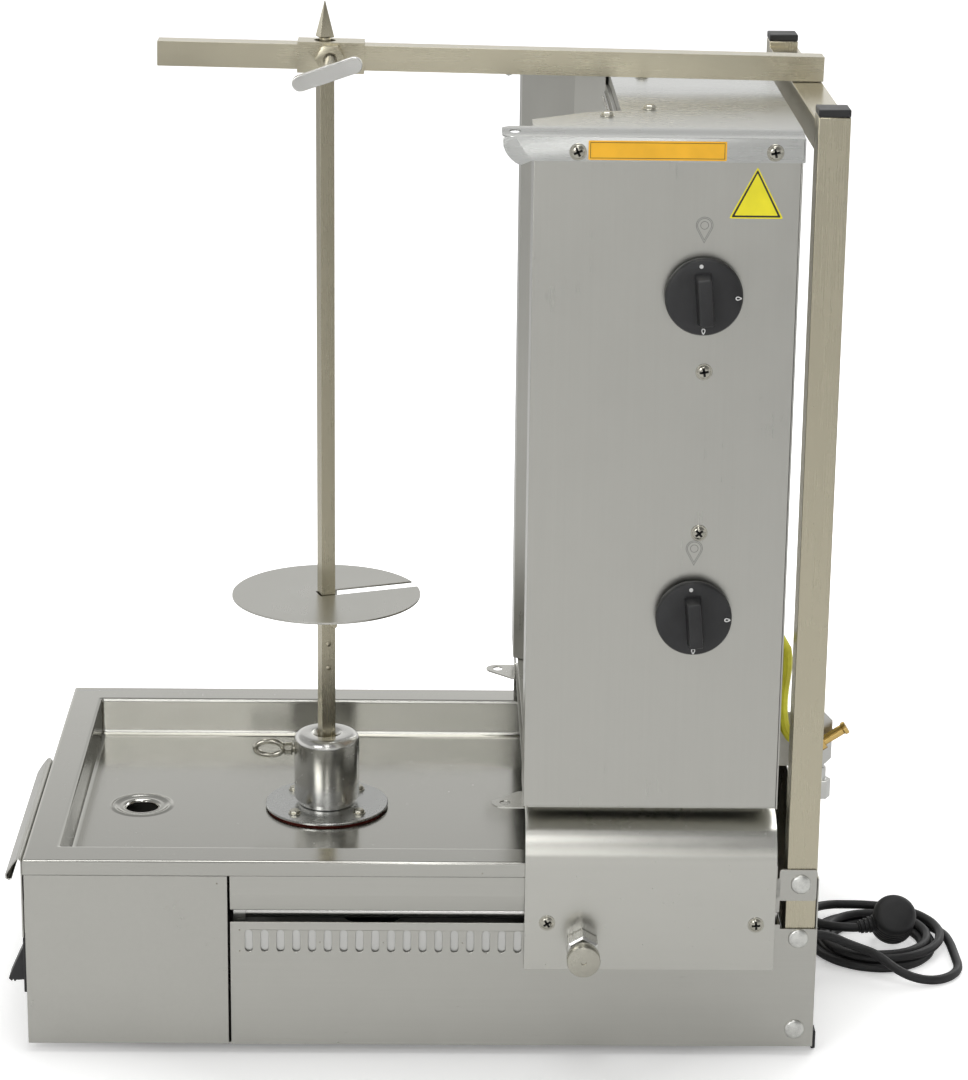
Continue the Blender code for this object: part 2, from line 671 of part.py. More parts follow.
def make_hood():
    """Roof with side flanges, front ears with pivot holes and the cut-out in front of the burners."""
    edge = CARRIAGE_HALF + GAP + SHEET
    right = [(edge, CARRIAGE_REAR), (edge, 388.0)]
    right += arc((edge - 10, 388.0), 10, 0, -90, 5)
    right += [(185.0, 378.0), (179.0, 384.0), (179.0, CARRIAGE_FRONT), (150.0, CARRIAGE_FRONT)]
    right += [(115.5, 446.0), (107.5, 473.0)]
    loop = right + [(-x, y) for x, y in reversed(right)]
    holes = [circle((way * 194.0, 388.0), 4.5, 16) for way in (1, -1)]
    low = CASING_TOP + GAP
    hood = add("hood", outline([loop] + holes, low, low + SHEET, "XY"), steel())
    flange = [(CARRIAGE_REAR, low + 0.6), (CARRIAGE_REAR, 743.0), (400.0, 743.0)]
    flange += arc((400.0, 760.0), 22.0, -112, -165, 5)
    flange += [(378.5, low + 0.6)]
    for way in (1, -1):
        join(hood, outline([flange], *sided(way, edge - SHEET, edge), "YZ"))
    rear = CARRIAGE_REAR + GAP
    join(hood, box((-edge, edge), (rear, rear + SHEET), (743.0, low + SHEET)),
         box((-edge, edge), (CARRIAGE_REAR - 5, CARRIAGE_REAR + 1), (low, low + SHEET)))


def make_rear_cover():
    """The carriage's flat back, folded forwards as the casing's floor, and the low ring under that floor."""
    wall = (CARRIAGE_REAR - SHEET, CARRIAGE_REAR)
    low = CASING_BOTTOM - 1.5
    mesh = box((-CARRIAGE_HALF, CARRIAGE_HALF), wall, (low, CASING_TOP))
    cover = add("carriage_rear_cover", mesh, steel())
    limit = CARRIAGE_HALF - 1.6
    join(cover, box((-limit, limit), (406.0, CARRIAGE_REAR - 0.6), (low, low + SHEET)))
    ring = (SADDLE_TOP + GAP, low + 0.6)
    for way in (1, -1):
        join(cover, box(sided(way, 163.8, 165.0), (410.0, 600.0), ring))
    for y in (410.0, 598.8):
        join(cover, box((-164.4, 164.4), (y, y + SHEET), ring))
    for height, radius in ((INLET_Z, 9), (HOSE_Z, 8)):
        cut(cover, rod((INLET_X, CARRIAGE_REAR - 5, height), 10, radius, "Y"))


def make_burners():
    half_x, half_z = BURNER_HALF
    """The plate between the wings and the two burners, each a frame round a set-back ceramic face."""
    limit = WING_POINTS[-1][0] - 4
    sheet = (BURNER_Y, BURNER_Y + SHEET)
    plate = add("burner_plate", box((-limit, limit), sheet, (CASING_BOTTOM, CASING_TOP)), steel())
    ceramic = material("ceramic", (0.80, 0.72, 0.60), 0.8, 0.0)
    for name, height in KNOB_HEIGHTS.items():
        middle = height - 4
        z = (middle - half_z, middle + half_z)
        cut(plate, box((-half_x - 1, half_x + 1), (BURNER_Y - 3, BURNER_Y + 5), (z[0] - 1, z[1] + 1)))
        burner = add(f"burner_{name}", box((-half_x, half_x), (BURNER_Y - 3, BURNER_Y + 42), z), ceramic)
        cut(burner, box((-half_x + 7, half_x - 7), (BURNER_Y - 6, BURNER_Y + 2), (z[0] + 7, z[1] - 7)),
            box((-half_x + 3, half_x - 3), (BURNER_Y + 12, BURNER_Y + 50), (z[0] + 3, z[1] - 3)))


def make_gas_controls():
    """A valve, a sprung stem and a knob for each burner."""
    for name, height in KNOB_HEIGHTS.items():
        axis = (CARRIAGE_HALF, KNOB_Y, height)
        body = box((152, 190), (KNOB_Y - 15, KNOB_Y + 17), (height - 20, height + 20))
        valve = add(f"gas_valve_{name}", body, brass())
        join(valve, rod((188, KNOB_Y, height), 14, 9, "X"))
        cut(valve, rod((176, KNOB_Y, height), 40, 4.4, "X"))
        add(f"valve_stem_{name}", rod((182, KNOB_Y, height), 37, 4.0, "X"), steel(), axis)
        back = 214.0
        skirt = ((0, 9), (KNOB_RADIUS - 3, 9), (KNOB_RADIUS - 1, 8), (KNOB_RADIUS, 5), (KNOB_RADIUS, 0),
                 (4.4, 0), (4.4, 5.5), (0, 5.5))
        knob = turned(f"gas_knob_{name}", skirt, (back, KNOB_Y, height), black_plastic(), "X", 40)
        join(knob, box((back + 7, back + 24), (KNOB_Y - 6.5, KNOB_Y + 6.5), (height - 24, height + 24)))


def make_gas_line():
    """Manifold inside the casing, and the inlet bracket, nozzle and hose at the rear."""
    manifold = [(INLET_X, 598, INLET_Z), (130, 590, 250), (150, 575, 262), (168, 566, 285), (172, 564, 320),
                (172, 564, 500), (172, 564, 668)]
    add("gas_manifold", tube(smooth_path(manifold, 25), 6), brass())
    front = CARRIAGE_REAR + GAP
    plate = [(front, 222), (652, 222), (659, 229), (659, 262), (652, 269), (front, 269)]
    bracket = add("gas_bracket", outline([plate], 118, 120, "YZ"), steel())
    join(bracket, box((105, 120), (front, CARRIAGE_REAR + 2), (222, 269)))
    cut(bracket, rod((110, 640, 241), 20, 5.4, "X"))
    profile = ((0, 34), (5.4, 34), (5.4, 31), (4.2, 30), (4.2, 12), (7, 12), (7, 4), (5, 4), (5, 0), (0, 0))
    nozzle = turned("gas_nozzle", profile, (127.6, 641, 241), brass(), steps=20)
    nozzle.rotation_euler = (-math.radians(57), 0, 0)
    join(nozzle, rod((113, 640, 241), 20, 5.0, "X", 20))
    hose = [(INLET_X, 607, HOSE_Z), (INLET_X, 613, 334), (INLET_X, 618.5, 324), (120, 619.5, 308),
            (121.5, 617.5, 290), (126, 616.5, 274), (131, 619, 258), (132.5, 627, 248.5), (132.5, 633, 246.2)]
    add("gas_hose", tube(smooth_path(hose, 8), 4.2), material("yellow_hose", (0.85, 0.75, 0.05), 0.5, 0.0))


def make_test_nipple():
    """Zinc test nipple under the inlet bracket."""
    zinc = material("zinc", (0.55, 0.55, 0.53), 0.4, 1.0)
    nipple = add("gas_test_nipple", rod((119, 651, 195), 16, 8.5, "Z", 6), zinc)
    join(nipple, rod((119, 651, 210), 222 - GAP - 210, 4.2, "Z", 16))


def make_runners():
    for name, side in (("near", 1), ("far", -1)):
        block = box(sided(side, 180.5, 195.4), (420, 596), (111.5, 129))
        runner = add(f"carriage_runner_{name}", block, black_plastic())
        tongue = sided(side, 194.5, CARRIAGE_HALF - SHEET - GAP)
        join(runner, box(tongue, (424, 592), (117.6, 123.2)))
        cut(runner, rod((side * ROD_X, 415, ROD_Z), 190, ROD_RADIUS + 0.5, "Y", 24))


def make_plunger():
    """Index pin with a round cap, shown with its tip just short of the slotted panel."""
    y, z = PLUNGER
    tip = HALF_WIDTH + GAP
    pin = ((0, 39), (12.5, 39), (13.5, 38), (13.5, 28.5), (12.5, 27.5), (3.2, 27.5), (3.2, 0), (0, 0))
    turned("index_plunger", pin, (tip, y, z), steel(), "X", 32)
    housing = add("plunger_housing", rod((CARRIAGE_HALF + GAP, y, z), 16, 14.2, "X", 6), steel())
    cut(housing, rod((CARRIAGE_HALF - 5, y, z), 30, 3.7, "X", 20))


# ---------------------------------------------------------------- front controls

def make_switch():
    """The mains switch: a bezel with a housing behind it, and a rocker with a toothed lower lip."""
    x0, x1 = SWITCH_X
    z0, z1 = SWITCH_Z
    bezel = add("switch_housing", box((x0, x1), (-2.8, -GAP), (z0, z1)), black_plastic())
    join(bezel, box((x0 + 3, x1 - 3), (-1, 24), (z0 + 3, z1 - 3)))
    cut(bezel, box((x0 + 4.4, x1 - 4.4), (-6, 20), (z0 + 5, z1 - 5)))
    profile = [(-1.5, 93.0), (-9.0, 77.0), (-16.0, 61.0), (-13.4, 58.6), (-12.2, 60.4), (-11.0, 58.0),
               (-9.4, 59.8), (-7.6, 59.6), (-4.0, 60.0), (4.0, 57.0), (10.0, 64.0), (12.0, 75.0), (8.0, 88.0)]
    add("rocker", outline([profile], x0 + 4.9, x1 - 4.9, "YZ"), black_plastic(), (0, *ROCKER_PIVOT))


def make_drawer():
    """Grease drawer under the drain, with a face plate whose top curls out into a pull."""
    x0, x1 = DRAWER_X
    z0, z1 = DRAWER_Z
    drawer = add("grease_drawer", box((x0, x1), (-1.6, DRAWER_DEPTH), (z0, z1)), steel())
    cut(drawer, box((x0 + 1, x1 - 1), (0, DRAWER_DEPTH - 1), (z0 + 1, z1 + 5)))
    front = -1.4
    curl = [(front, 101.0), (front, 168.0), (front - 2.0, 170.6), (front - 4.4, 170.0), (front - 9.0, 164.0),
            (front - 13.6, 156.5), (front - 13.4, 152.6), (front - 10.4, 151.0), (front - 8.2, 152.4)]
    join(drawer, outline([strip(curl, SHEET)], x0 - 3, x1 + 4, "YZ"))


# ---------------------------------------------------------------- mains cord

def make_cord():
    x, z = GLAND
    profile = ((CORD_RADIUS, 22), (CORD_RADIUS + 1.6, 22), (8, 12), (8, 8), (11, 8), (11, 0), (8, 0), (8, -8),
               (CORD_RADIUS, -8))
    turned("cord_gland", profile, (x, LENGTH + GAP, z), rubber(), "Y", 20)
    add("cord_lead", tube(smooth_path(CORD_ROUTE, 13), CORD_RADIUS), rubber())
    ring = [circle(COIL_CENTRE, radius, 40) for radius in (COIL_RADIUS, COIL_RADIUS - COIL_BAND)]
    add("cord_coil", outline(ring, 0.1, COIL_HEIGHT, "XY"), rubber())
    make_plug()


def make_plug():
    """An angled plug lying on the coil, with its pins down and its cord relief towards the front."""
    half = PLUG_DEPTH / 2
    profile = ((0, half), (PLUG_RADIUS - 4, half), (PLUG_RADIUS, half - 4), (PLUG_RADIUS, 3 - half),
               (PLUG_RADIUS - 3, -half), (0, -half))
    plug = turned("mains_plug", profile, PLUG_CENTRE, rubber(), "Z", 26)
    plug.rotation_euler = (0, PLUG_TILT, 0)
    place = Matrix.Translation(Vector(PLUG_CENTRE) * MM) @ Matrix.Rotation(PLUG_TILT, 4, "Y")
    relief = rod((0, 0, 0), PLUG_RELIEF, 8.5, "Z", 16, 5.2)
    sideways = Matrix.Rotation(RELIEF_TURN, 4, "Z") @ Matrix.Rotation(math.pi / 2, 4, "X")
    relief.transform(place @ sideways)
    join(plug, relief)
    for y in (-9.5, 9.5):
        pin = rod((0, y, -half - 18), 20, 2.4, "Z", 12)
        pin.transform(place)
        join(plug, pin)


def build():
    clear_scene()
    machine = bpy.data.objects.new("machine", None)
    bpy.context.scene.collection.objects.link(machine)
    machine.location = (-CENTRE_X * MM, -CENTRE_Y * MM, 0.0)
    make_feet()
    make_bottom_pan()
    make_front_cover()
    make_side_panels()
    make_upper_rails()
    make_rear_panel()
    make_tray()
    make_guide_rods()
    make_posts()
    clamp_centre = make_arm()
    make_clamp_screw(clamp_centre)
    make_drive()
    make_hub()
    make_wing_bolt()
    make_spit()
    make_disc()
    make_saddle()
    make_side_casings()
    make_hood()
    make_rear_cover()
    make_burners()
    make_gas_controls()
    make_gas_line()
    make_test_nipple()
    make_runners()
    make_plunger()
    make_switch()
    make_drawer()
    make_cord()


build()
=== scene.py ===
"""The looks of a vertical rotisserie broiler: studio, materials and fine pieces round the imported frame.

Lengths in the design frame are in millimetres: x from the centre plane towards the knobs, y from the front of
the base towards the rear, z up from the bench.  at() turns them into the frame's metres.
"""

import math

import bmesh
import bpy
from mathutils import Matrix, Vector

import json


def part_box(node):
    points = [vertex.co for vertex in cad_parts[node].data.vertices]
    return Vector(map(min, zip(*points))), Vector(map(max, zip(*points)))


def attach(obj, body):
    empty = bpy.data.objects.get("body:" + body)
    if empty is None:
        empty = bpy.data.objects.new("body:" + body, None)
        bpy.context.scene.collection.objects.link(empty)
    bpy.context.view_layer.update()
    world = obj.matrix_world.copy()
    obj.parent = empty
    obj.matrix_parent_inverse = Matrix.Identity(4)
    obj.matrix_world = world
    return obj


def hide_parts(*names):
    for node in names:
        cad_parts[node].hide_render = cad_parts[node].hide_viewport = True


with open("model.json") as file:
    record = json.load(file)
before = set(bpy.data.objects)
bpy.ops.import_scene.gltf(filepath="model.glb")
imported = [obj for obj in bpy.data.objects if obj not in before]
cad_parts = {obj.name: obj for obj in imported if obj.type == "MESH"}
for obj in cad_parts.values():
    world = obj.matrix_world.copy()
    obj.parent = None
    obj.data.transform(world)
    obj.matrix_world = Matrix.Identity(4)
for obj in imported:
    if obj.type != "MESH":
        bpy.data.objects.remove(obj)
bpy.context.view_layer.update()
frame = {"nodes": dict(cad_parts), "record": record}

MM = 0.001
RECORD = frame["record"]
BODY_OF = {node: body for body, nodes in RECORD["behaviour"]["bodies"].items() for node in nodes}

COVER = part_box("front_cover")
MIDDLE_X = (COVER[0].x + COVER[1].x) / 2
FRONT_Y = COVER[0].y

MATERIALS = {}


def at(x, y, z):
    """A point of the design frame, in metres of the shared frame."""
    return Vector((MIDDLE_X + x * MM, FRONT_Y + y * MM, z * MM))


def limits(node):
    """A node's box in the design frame: ((x0, x1), (y0, y1), (z0, z1)) in mm."""
    low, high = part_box(node)
    shift = (MIDDLE_X, FRONT_Y, 0.0)
    return tuple(((low[i] - shift[i]) / MM, (high[i] - shift[i]) / MM) for i in range(3))


# ---------------------------------------------------------------- studio

CAMERA = (2656.0, 324.85, 1199.9)
TILT = math.radians(17.179)
YAW = math.radians(1.009)
ROLL = math.radians(0.706)
LENS = 109.36
SENSOR = 36.0


def make_camera():
    forward = Vector((-math.cos(TILT) * math.cos(YAW), math.cos(TILT) * math.sin(YAW), -math.sin(TILT)))
    level = forward.cross(Vector((0, 0, 1))).normalized()
    upright = level.cross(forward)
    right = level * math.cos(ROLL) + upright * math.sin(ROLL)
    up = upright * math.cos(ROLL) - level * math.sin(ROLL)
    data = bpy.data.cameras.new("camera")
    data.lens = LENS
    data.sensor_width = SENSOR
    camera = bpy.data.objects.new("camera", data)
    bpy.context.scene.collection.objects.link(camera)
    turn = Matrix((right, up, -forward)).transposed().to_4x4()
    camera.matrix_world = Matrix.Translation(at(*CAMERA)) @ turn
    bpy.context.scene.camera = camera


# Place and target in metres, size in metres and power in watts.
LIGHTS = {
    "overhead": ((-0.2, -0.1, 2.4), (0.0, 0.0, 0.3), (1.2, 2.2), 24.0),
    "high_strip": ((1.15, 0.0, 2.5), (0.0, 0.0, 0.2), (0.30, 3.0), 5.5),
    "low_strip": ((3.3, 0.1, 1.85), (0.0, 0.0, 0.2), (0.20, 3.4), 8.0),
    "front": ((2.6, -1.6, 1.9), (0.0, 0.0, 0.4), (1.2, 1.4), 24.0),
    "rear_fill": ((-1.8, 1.6, 1.6), (0.0, 0.0, 0.4), (1.2, 1.2), 12.0),
    "gap": ((0.15, 0.207, 0.219), (0.15, 0.207, 0.0), (0.075, 0.26), 0.13),
}


def make_light(name, place, target, size, energy):
    data = bpy.data.lights.new(name, "AREA")
    data.shape = "RECTANGLE"
    data.size, data.size_y = size
    data.energy = energy
    light = bpy.data.objects.new(name, data)
    bpy.context.scene.collection.objects.link(light)
    light.location = place
    light.rotation_euler = (Vector(target) - Vector(place)).to_track_quat("-Z", "Y").to_euler()


# How bright the walls are from straight down (0) over the horizon (0.5) to straight up (1).
WALL_LEVELS = ((0.0, 0.45), (0.50, 0.98), (0.665, 1.0), (0.715, 0.46), (1.0, 0.34))
DARK_SIDE = 0.5


def make_world():
    """Soft studio walls: bright near the horizon, dimmer above and below, and dark behind the camera."""
    world = bpy.data.worlds.new("studio")
    world.use_nodes = True
    walls = Tree(world.node_tree)
    split = walls.nodes.new("ShaderNodeSeparateXYZ")
    walls.links.new(walls.coords.outputs["Generated"], split.inputs["Vector"])
    ramp = walls.nodes.new("ShaderNodeValToRGB")
    walls.links.new(walls.remap(split.outputs["Z"], 0.0, 1.0, -1.0, 1.0), ramp.inputs["Fac"])
    while len(ramp.color_ramp.elements) < len(WALL_LEVELS):
        ramp.color_ramp.elements.new(0.5)
    for element, (place, level) in zip(ramp.color_ramp.elements, WALL_LEVELS):
        element.position = place
        element.color = (level, level, level * 0.99, 1.0)
    behind = walls.remap(split.outputs["X"], 0.0, DARK_SIDE, 0.1, 0.6)
    raised = walls.remap(split.outputs["Z"], 0.0, 1.0, 0.03, 0.16)
    remaining = walls.math("SUBTRACT", 1.0, walls.math("MULTIPLY", behind, raised))
    seen = walls.nodes.new("ShaderNodeLightPath").outputs["Is Camera Ray"]
    background = walls.nodes["Background"]
    walls.links.new(ramp.outputs["Color"], background.inputs["Color"])
    walls.links.new(walls.math("MAXIMUM", remaining, seen), background.inputs["Strength"])
    bpy.context.scene.world = world


def make_studio():
    make_camera()
    make_world()
    for name, (place, target, size, energy) in LIGHTS.items():
        make_light(name, place, target, size, energy)
    mesh = bpy.data.meshes.new("floor")
    bm = bmesh.new()
    bmesh.ops.create_grid(bm, x_segments=1, y_segments=1, size=12.0)
    bm.to_mesh(mesh)
    bm.free()
    floor = bpy.data.objects.new("floor", mesh)
    bpy.context.scene.collection.objects.link(floor)
    floor.location.z = -0.0002
    mesh.materials.append(floor_finish())
    bpy.context.scene.view_settings.view_transform = "Standard"


# ---------------------------------------------------------------- materials

class Tree:
    """A shader tree under construction, with short ways to add its nodes."""

    def __init__(self, tree):
        self.nodes = tree.nodes
        self.links = tree.links
        self.coords = self.nodes.new("ShaderNodeTexCoord")

    def remap(self, source, low, high, start=0.3, end=0.7):
        node = self.nodes.new("ShaderNodeMapRange")
        for key, value in (("From Min", start), ("From Max", end), ("To Min", low), ("To Max", high)):
            node.inputs[key].default_value = value
        self.links.new(source, node.inputs["Value"])
        return node.outputs["Result"]

    def math(self, operation, first, second):
        node = self.nodes.new("ShaderNodeMath")
        node.operation = operation
        for socket, value in zip(node.inputs, (first, second)):
            if isinstance(value, (int, float)):
                socket.default_value = value
            else:
                self.links.new(value, socket)
        return node.outputs["Value"]


class Finish(Tree):
    """A material under construction."""

    def __init__(self, name):
        self.material = bpy.data.materials.new(name)
        self.material.use_nodes = True
        super().__init__(self.material.node_tree)
        self.shader = self.nodes["Principled BSDF"]

    def set(self, **values):
        for key, value in values.items():
            self.shader.inputs[key.replace("_", " ")].default_value = value

    def noise(self, scale, detail=3.0, stretch=(1.0, 1.0, 1.0), shift=0.0):
        """Noise with so many cells a metre along each axis, times the stretch."""
        mapping = self.nodes.new("ShaderNodeMapping")
        mapping.inputs["Scale"].default_value = stretch
        mapping.inputs["Location"].default_value = (shift, shift, shift)
        noise = self.nodes.new("ShaderNodeTexNoise")
        noise.inputs["Scale"].default_value = scale
        noise.inputs["Detail"].default_value = detail
        self.links.new(self.coords.outputs["Object"], mapping.inputs["Vector"])
        self.links.new(mapping.outputs["Vector"], noise.inputs["Vector"])
        return noise.outputs["Fac"]

    def mix(self, factor, first, second):
        node = self.nodes.new("ShaderNodeMix")
        node.data_type = "RGBA"
        node.inputs["A"].default_value = (*first, 1.0)
        node.inputs["B"].default_value = (*second, 1.0)
        self.links.new(factor, node.inputs["Factor"])
        return node.outputs["Result"]

    def feed(self, key, source):
        self.links.new(source, self.shader.inputs[key])

    def bump(self, source, depth, before=None):
        """Bump of a depth in mm, on top of an earlier bump."""
        node = self.nodes.new("ShaderNodeBump")
        node.inputs["Strength"].default_value = 1.0
        node.inputs["Distance"].default_value = depth * MM
        self.links.new(source, node.inputs["Height"])
        if before is not None:
            self.links.new(before, node.inputs["Normal"])
        self.links.new(node.outputs["Normal"], self.shader.inputs["Normal"])
        return node.outputs["Normal"]


def shade(colour, factor):
    return tuple(min(1.0, channel * factor) for channel in colour)


def metal(name, colour, roughness, grain, scratch=0.004, patch=0.035, tint=0.035, ripple=0.0):
    """Metal with fine grain along one axis, soft patches of wipe marks and small specks of wear."""
    finish = Finish(name)
    stretch = {"X": (0.012, 1, 1), "Y": (1, 0.012, 1), "Z": (1, 1, 0.012), "round": (0.01, 0.01, 1),
               "": (1, 1, 1)}[grain]
    lines = finish.noise(1500.0, 4.0, stretch)
    broad = finish.noise(240.0, 3.0, stretch, 3.0)
    cloud = finish.noise(7.0, 4.0, shift=1.7)
    smudge = finish.noise(38.0, 5.0, shift=5.3)
    wear = finish.math("GREATER_THAN", finish.noise(420.0, 2.0, shift=9.1), 0.735)
    blotch = finish.math("ADD", finish.math("MULTIPLY", cloud, 0.6), finish.math("MULTIPLY", smudge, 0.4))
    streak = finish.math("ADD", finish.math("MULTIPLY", lines, 0.5), finish.math("MULTIPLY", broad, 0.5))
    level = finish.math("ADD", finish.math("MULTIPLY", blotch, 0.5), finish.math("MULTIPLY", streak, 0.5))
    base = finish.mix(finish.remap(level, 0.0, 1.0), shade(colour, 1.0 - tint), shade(colour, 1.0 + tint))
    finish.feed("Base Color", base)
    rough = finish.math("ADD", finish.remap(blotch, roughness - patch, roughness + patch),
                        finish.remap(streak, -patch * 0.6, patch * 0.6))
    rough = finish.math("ADD", rough, finish.math("MULTIPLY", wear, 0.10))
    finish.feed("Roughness", rough)
    finish.set(Metallic=1.0)
    normal = finish.bump(streak, scratch)
    if ripple:
        finish.bump(finish.noise(5.0, 1.0, shift=2.2), ripple, normal)
    return finish.material


def plastic(name, colour, roughness, pebble=0.03, scale=1600.0):
    """Moulded plastic: fine pebble grain, slight colour change and greasy patches."""
    finish = Finish(name)
    grain = finish.noise(scale, 2.0)
    cloud = finish.noise(45.0, 4.0, shift=4.0)
    base = finish.mix(finish.remap(cloud, 0.0, 1.0), shade(colour, 0.75), shade(colour, 1.4))
    finish.feed("Base Color", base)
    finish.feed("Roughness", finish.remap(cloud, roughness - 0.08, roughness + 0.08))
    finish.set(Specular_IOR_Level=0.45)
    finish.bump(grain, pebble)
    return finish.material


def sticker(name, colour):
    finish = Finish(name)
    paper = finish.noise(900.0, 3.0)
    fade = finish.noise(60.0, 4.0)
    base = finish.mix(finish.remap(fade, 0.0, 1.0), shade(colour, 0.93), shade(colour, 1.05))
    finish.feed("Base Color", base)
    finish.feed("Roughness", finish.remap(paper, 0.30, 0.42))
    finish.bump(paper, 0.01)
    return finish.material


PAPER = ((0.86, 0.86, 0.86), (0.88, 0.88, 0.88))


def floor_finish():
    """White paper: it brightens away from the machine, for the camera only, so that it burns out to white."""
    finish = Finish("floor")
    dust = finish.noise(3.0, 2.0)
    finish.feed("Base Color", finish.mix(finish.remap(dust, 0.0, 1.0), *PAPER))
    finish.set(Roughness=0.55, Specular_IOR_Level=0.3, Emission_Color=(1.0, 1.0, 1.0, 1.0))
    distance = finish.nodes.new("ShaderNodeVectorMath")
    distance.operation = "LENGTH"
    finish.links.new(finish.coords.outputs["Object"], distance.inputs[0])
    path = finish.nodes.new("ShaderNodeLightPath")
    glow = finish.remap(distance.outputs["Value"], 0.20, 0.85, 0.28, 0.62)
    finish.feed("Emission Strength", finish.math("MULTIPLY", glow, path.outputs["Is Camera Ray"]))
    return finish.material


def ceramic():
    """Burner plaque: rows of tiny flame holes in buff ceramic, scorched in patches."""
    finish = Finish("burner_ceramic")
    cells = finish.nodes.new("ShaderNodeTexVoronoi")
    cells.inputs["Scale"].default_value = 420.0
    cells.inputs["Randomness"].default_value = 0.0
    finish.links.new(finish.coords.outputs["Object"], cells.inputs["Vector"])
    hole = finish.math("LESS_THAN", cells.outputs["Distance"], 0.33)
    scorch = finish.noise(22.0, 5.0)
    # The dark colour of the flame holes is painted shade; the bump dents them only 0.4 mm.
    base = finish.mix(hole, (0.72, 0.62, 0.50), (0.10, 0.075, 0.06))
    burnt = finish.nodes.new("ShaderNodeMix")
    burnt.data_type = "RGBA"
    burnt.blend_type = "MULTIPLY"
    finish.links.new(finish.remap(scorch, 0.0, 0.7), burnt.inputs["Factor"])
    finish.links.new(base, burnt.inputs["A"])
    burnt.inputs["B"].default_value = (0.62, 0.55, 0.48, 1.0)
    finish.feed("Base Color", burnt.outputs["Result"])
    finish.set(Roughness=0.85)
    finish.bump(finish.math("SUBTRACT", 1.0, hole), 0.4)
    return finish.material


STEEL = (0.50, 0.495, 0.460)
WARM_STEEL = (0.53, 0.49, 0.375)
BRIGHT = (0.66, 0.655, 0.63)
NICKEL = (0.46, 0.445, 0.385)


# Colour, roughness, direction of the grain and what differs from metal()'s own values.
METALS = {
    "sheet_upright": (STEEL, 0.30, "Z", {"ripple": 0.10}),
    "sheet_along": (STEEL, 0.30, "Y", {"ripple": 0.10}),
    "sheet_across": (STEEL, 0.30, "X", {"ripple": 0.10}),
    # The hood's sheet is a brighter, more neutral copy of the steel: painted light standing in for the bright
    # reflection on its roof.
    "hood_sheet_painted_light": ((0.560, 0.565, 0.550), 0.28, "Y", {"ripple": 0.10}),
    "tray_sheet": (shade(STEEL, 0.96), 0.17, "Y", {"patch": 0.03, "ripple": 0.15}),
    "roll_sheet": (shade(STEEL, 1.12), 0.24, "Y", {"scratch": 0.002, "patch": 0.02}),
    "tube_upright": (WARM_STEEL, 0.27, "Z", {}),
    "tube_along": (WARM_STEEL, 0.27, "Y", {}),
    "tube_across": (WARM_STEEL, 0.22, "X", {}),
    "turned_steel": (BRIGHT, 0.24, "round", {"patch": 0.04}),
    "disc_steel": ((0.50, 0.505, 0.495), 0.26, "", {"patch": 0.05}),
    "plated": (NICKEL, 0.22, "", {"scratch": 0.02, "patch": 0.08, "tint": 0.12}),
    "galvanised": ((0.66, 0.66, 0.63), 0.34, "", {"scratch": 0.10, "patch": 0.16, "tint": 0.40}),
    "brass": ((0.72, 0.50, 0.18), 0.24, "", {"patch": 0.07}),
    "zinc": ((0.62, 0.62, 0.60), 0.38, "", {"scratch": 0.05, "patch": 0.1}),
}
# Colour, roughness and, where they differ, depth and scale of the pebble grain.
PLASTICS = {
    "gear_case": ((0.05, 0.05, 0.055), 0.5, 0.08, 700.0),
    "black_plastic": ((0.018, 0.018, 0.019), 0.42),
    "black_rubber": ((0.018, 0.018, 0.019), 0.50, 0.02, 1100.0),
    "red_gasket": ((0.28, 0.05, 0.035), 0.6),
    "yellow_hose": ((0.80, 0.72, 0.05), 0.42),
    "black_ink": ((0.02, 0.02, 0.02), 0.5, 0.005),
    "grey_ink": ((0.16, 0.16, 0.15), 0.5, 0.005),
    "white_ink": ((0.80, 0.80, 0.78), 0.5, 0.005),
    # The near-black fill of the screw recesses is painted shade.
    "recess_painted_shade": ((0.010, 0.010, 0.010), 0.8),
}
FILMS = {"orange_film": (0.95, 0.50, 0.02), "yellow_film": (0.90, 0.80, 0.02)}


def make_materials():
    for name, (colour, roughness, grain, others) in METALS.items():
        MATERIALS[name] = metal(name, colour, roughness, grain, **others)
    for name, values in PLASTICS.items():
        MATERIALS[name] = plastic(name, *values)
    for name, colour in FILMS.items():
        MATERIALS[name] = sticker(name, colour)
    MATERIALS["ceramic"] = ceramic()


# ---------------------------------------------------------------- mesh helpers

SMOOTH = math.radians(32)
PLANES = {
    "XY": Matrix.Identity(4),
    "YZ": Matrix(((0, 0, 1, 0), (1, 0, 0, 0), (0, 1, 0, 0), (0, 0, 0, 1))),
    "XZ": Matrix(((1, 0, 0, 0), (0, 0, 1, 0), (0, 1, 0, 0), (0, 0, 0, 1))),
}
AXES = {
    "X": Matrix.Rotation(math.pi / 2, 4, "Y"),
    "-X": Matrix.Rotation(-math.pi / 2, 4, "Y"),
    "Y": Matrix.Rotation(-math.pi / 2, 4, "X"),
    "-Y": Matrix.Rotation(math.pi / 2, 4, "X"),
    "Z": Matrix.Identity(4),
}


def finished(bm):
    bmesh.ops.remove_doubles(bm, verts=bm.verts, dist=0.000005)
    bmesh.ops.recalc_face_normals(bm, faces=bm.faces)
    mesh = bpy.data.meshes.new("mesh")
    bm.to_mesh(mesh)
    bm.free()
    return mesh


def merged(node):
    """The CAD node's own shape with its flat faces merged."""
    bm = bmesh.new()
    bm.from_mesh(frame["nodes"][node].data)
    bmesh.ops.remove_doubles(bm, verts=bm.verts, dist=0.00001)
    bmesh.ops.dissolve_limit(bm, angle_limit=math.radians(0.6), verts=bm.verts, edges=bm.edges)
    return bm


def bridged(bm, loops):
    """Quads between each loop of points and the next."""
    for first, second in zip(loops, loops[1:]):
        for i in range(len(first)):
            bm.faces.new((first[i], first[i - 1], second[i - 1], second[i]))


def evaluated(piece):
    """The mesh that a curve or a piece with modifiers makes."""
    bpy.context.view_layer.update()
    return bpy.data.meshes.new_from_object(piece.evaluated_get(bpy.context.evaluated_depsgraph_get()))


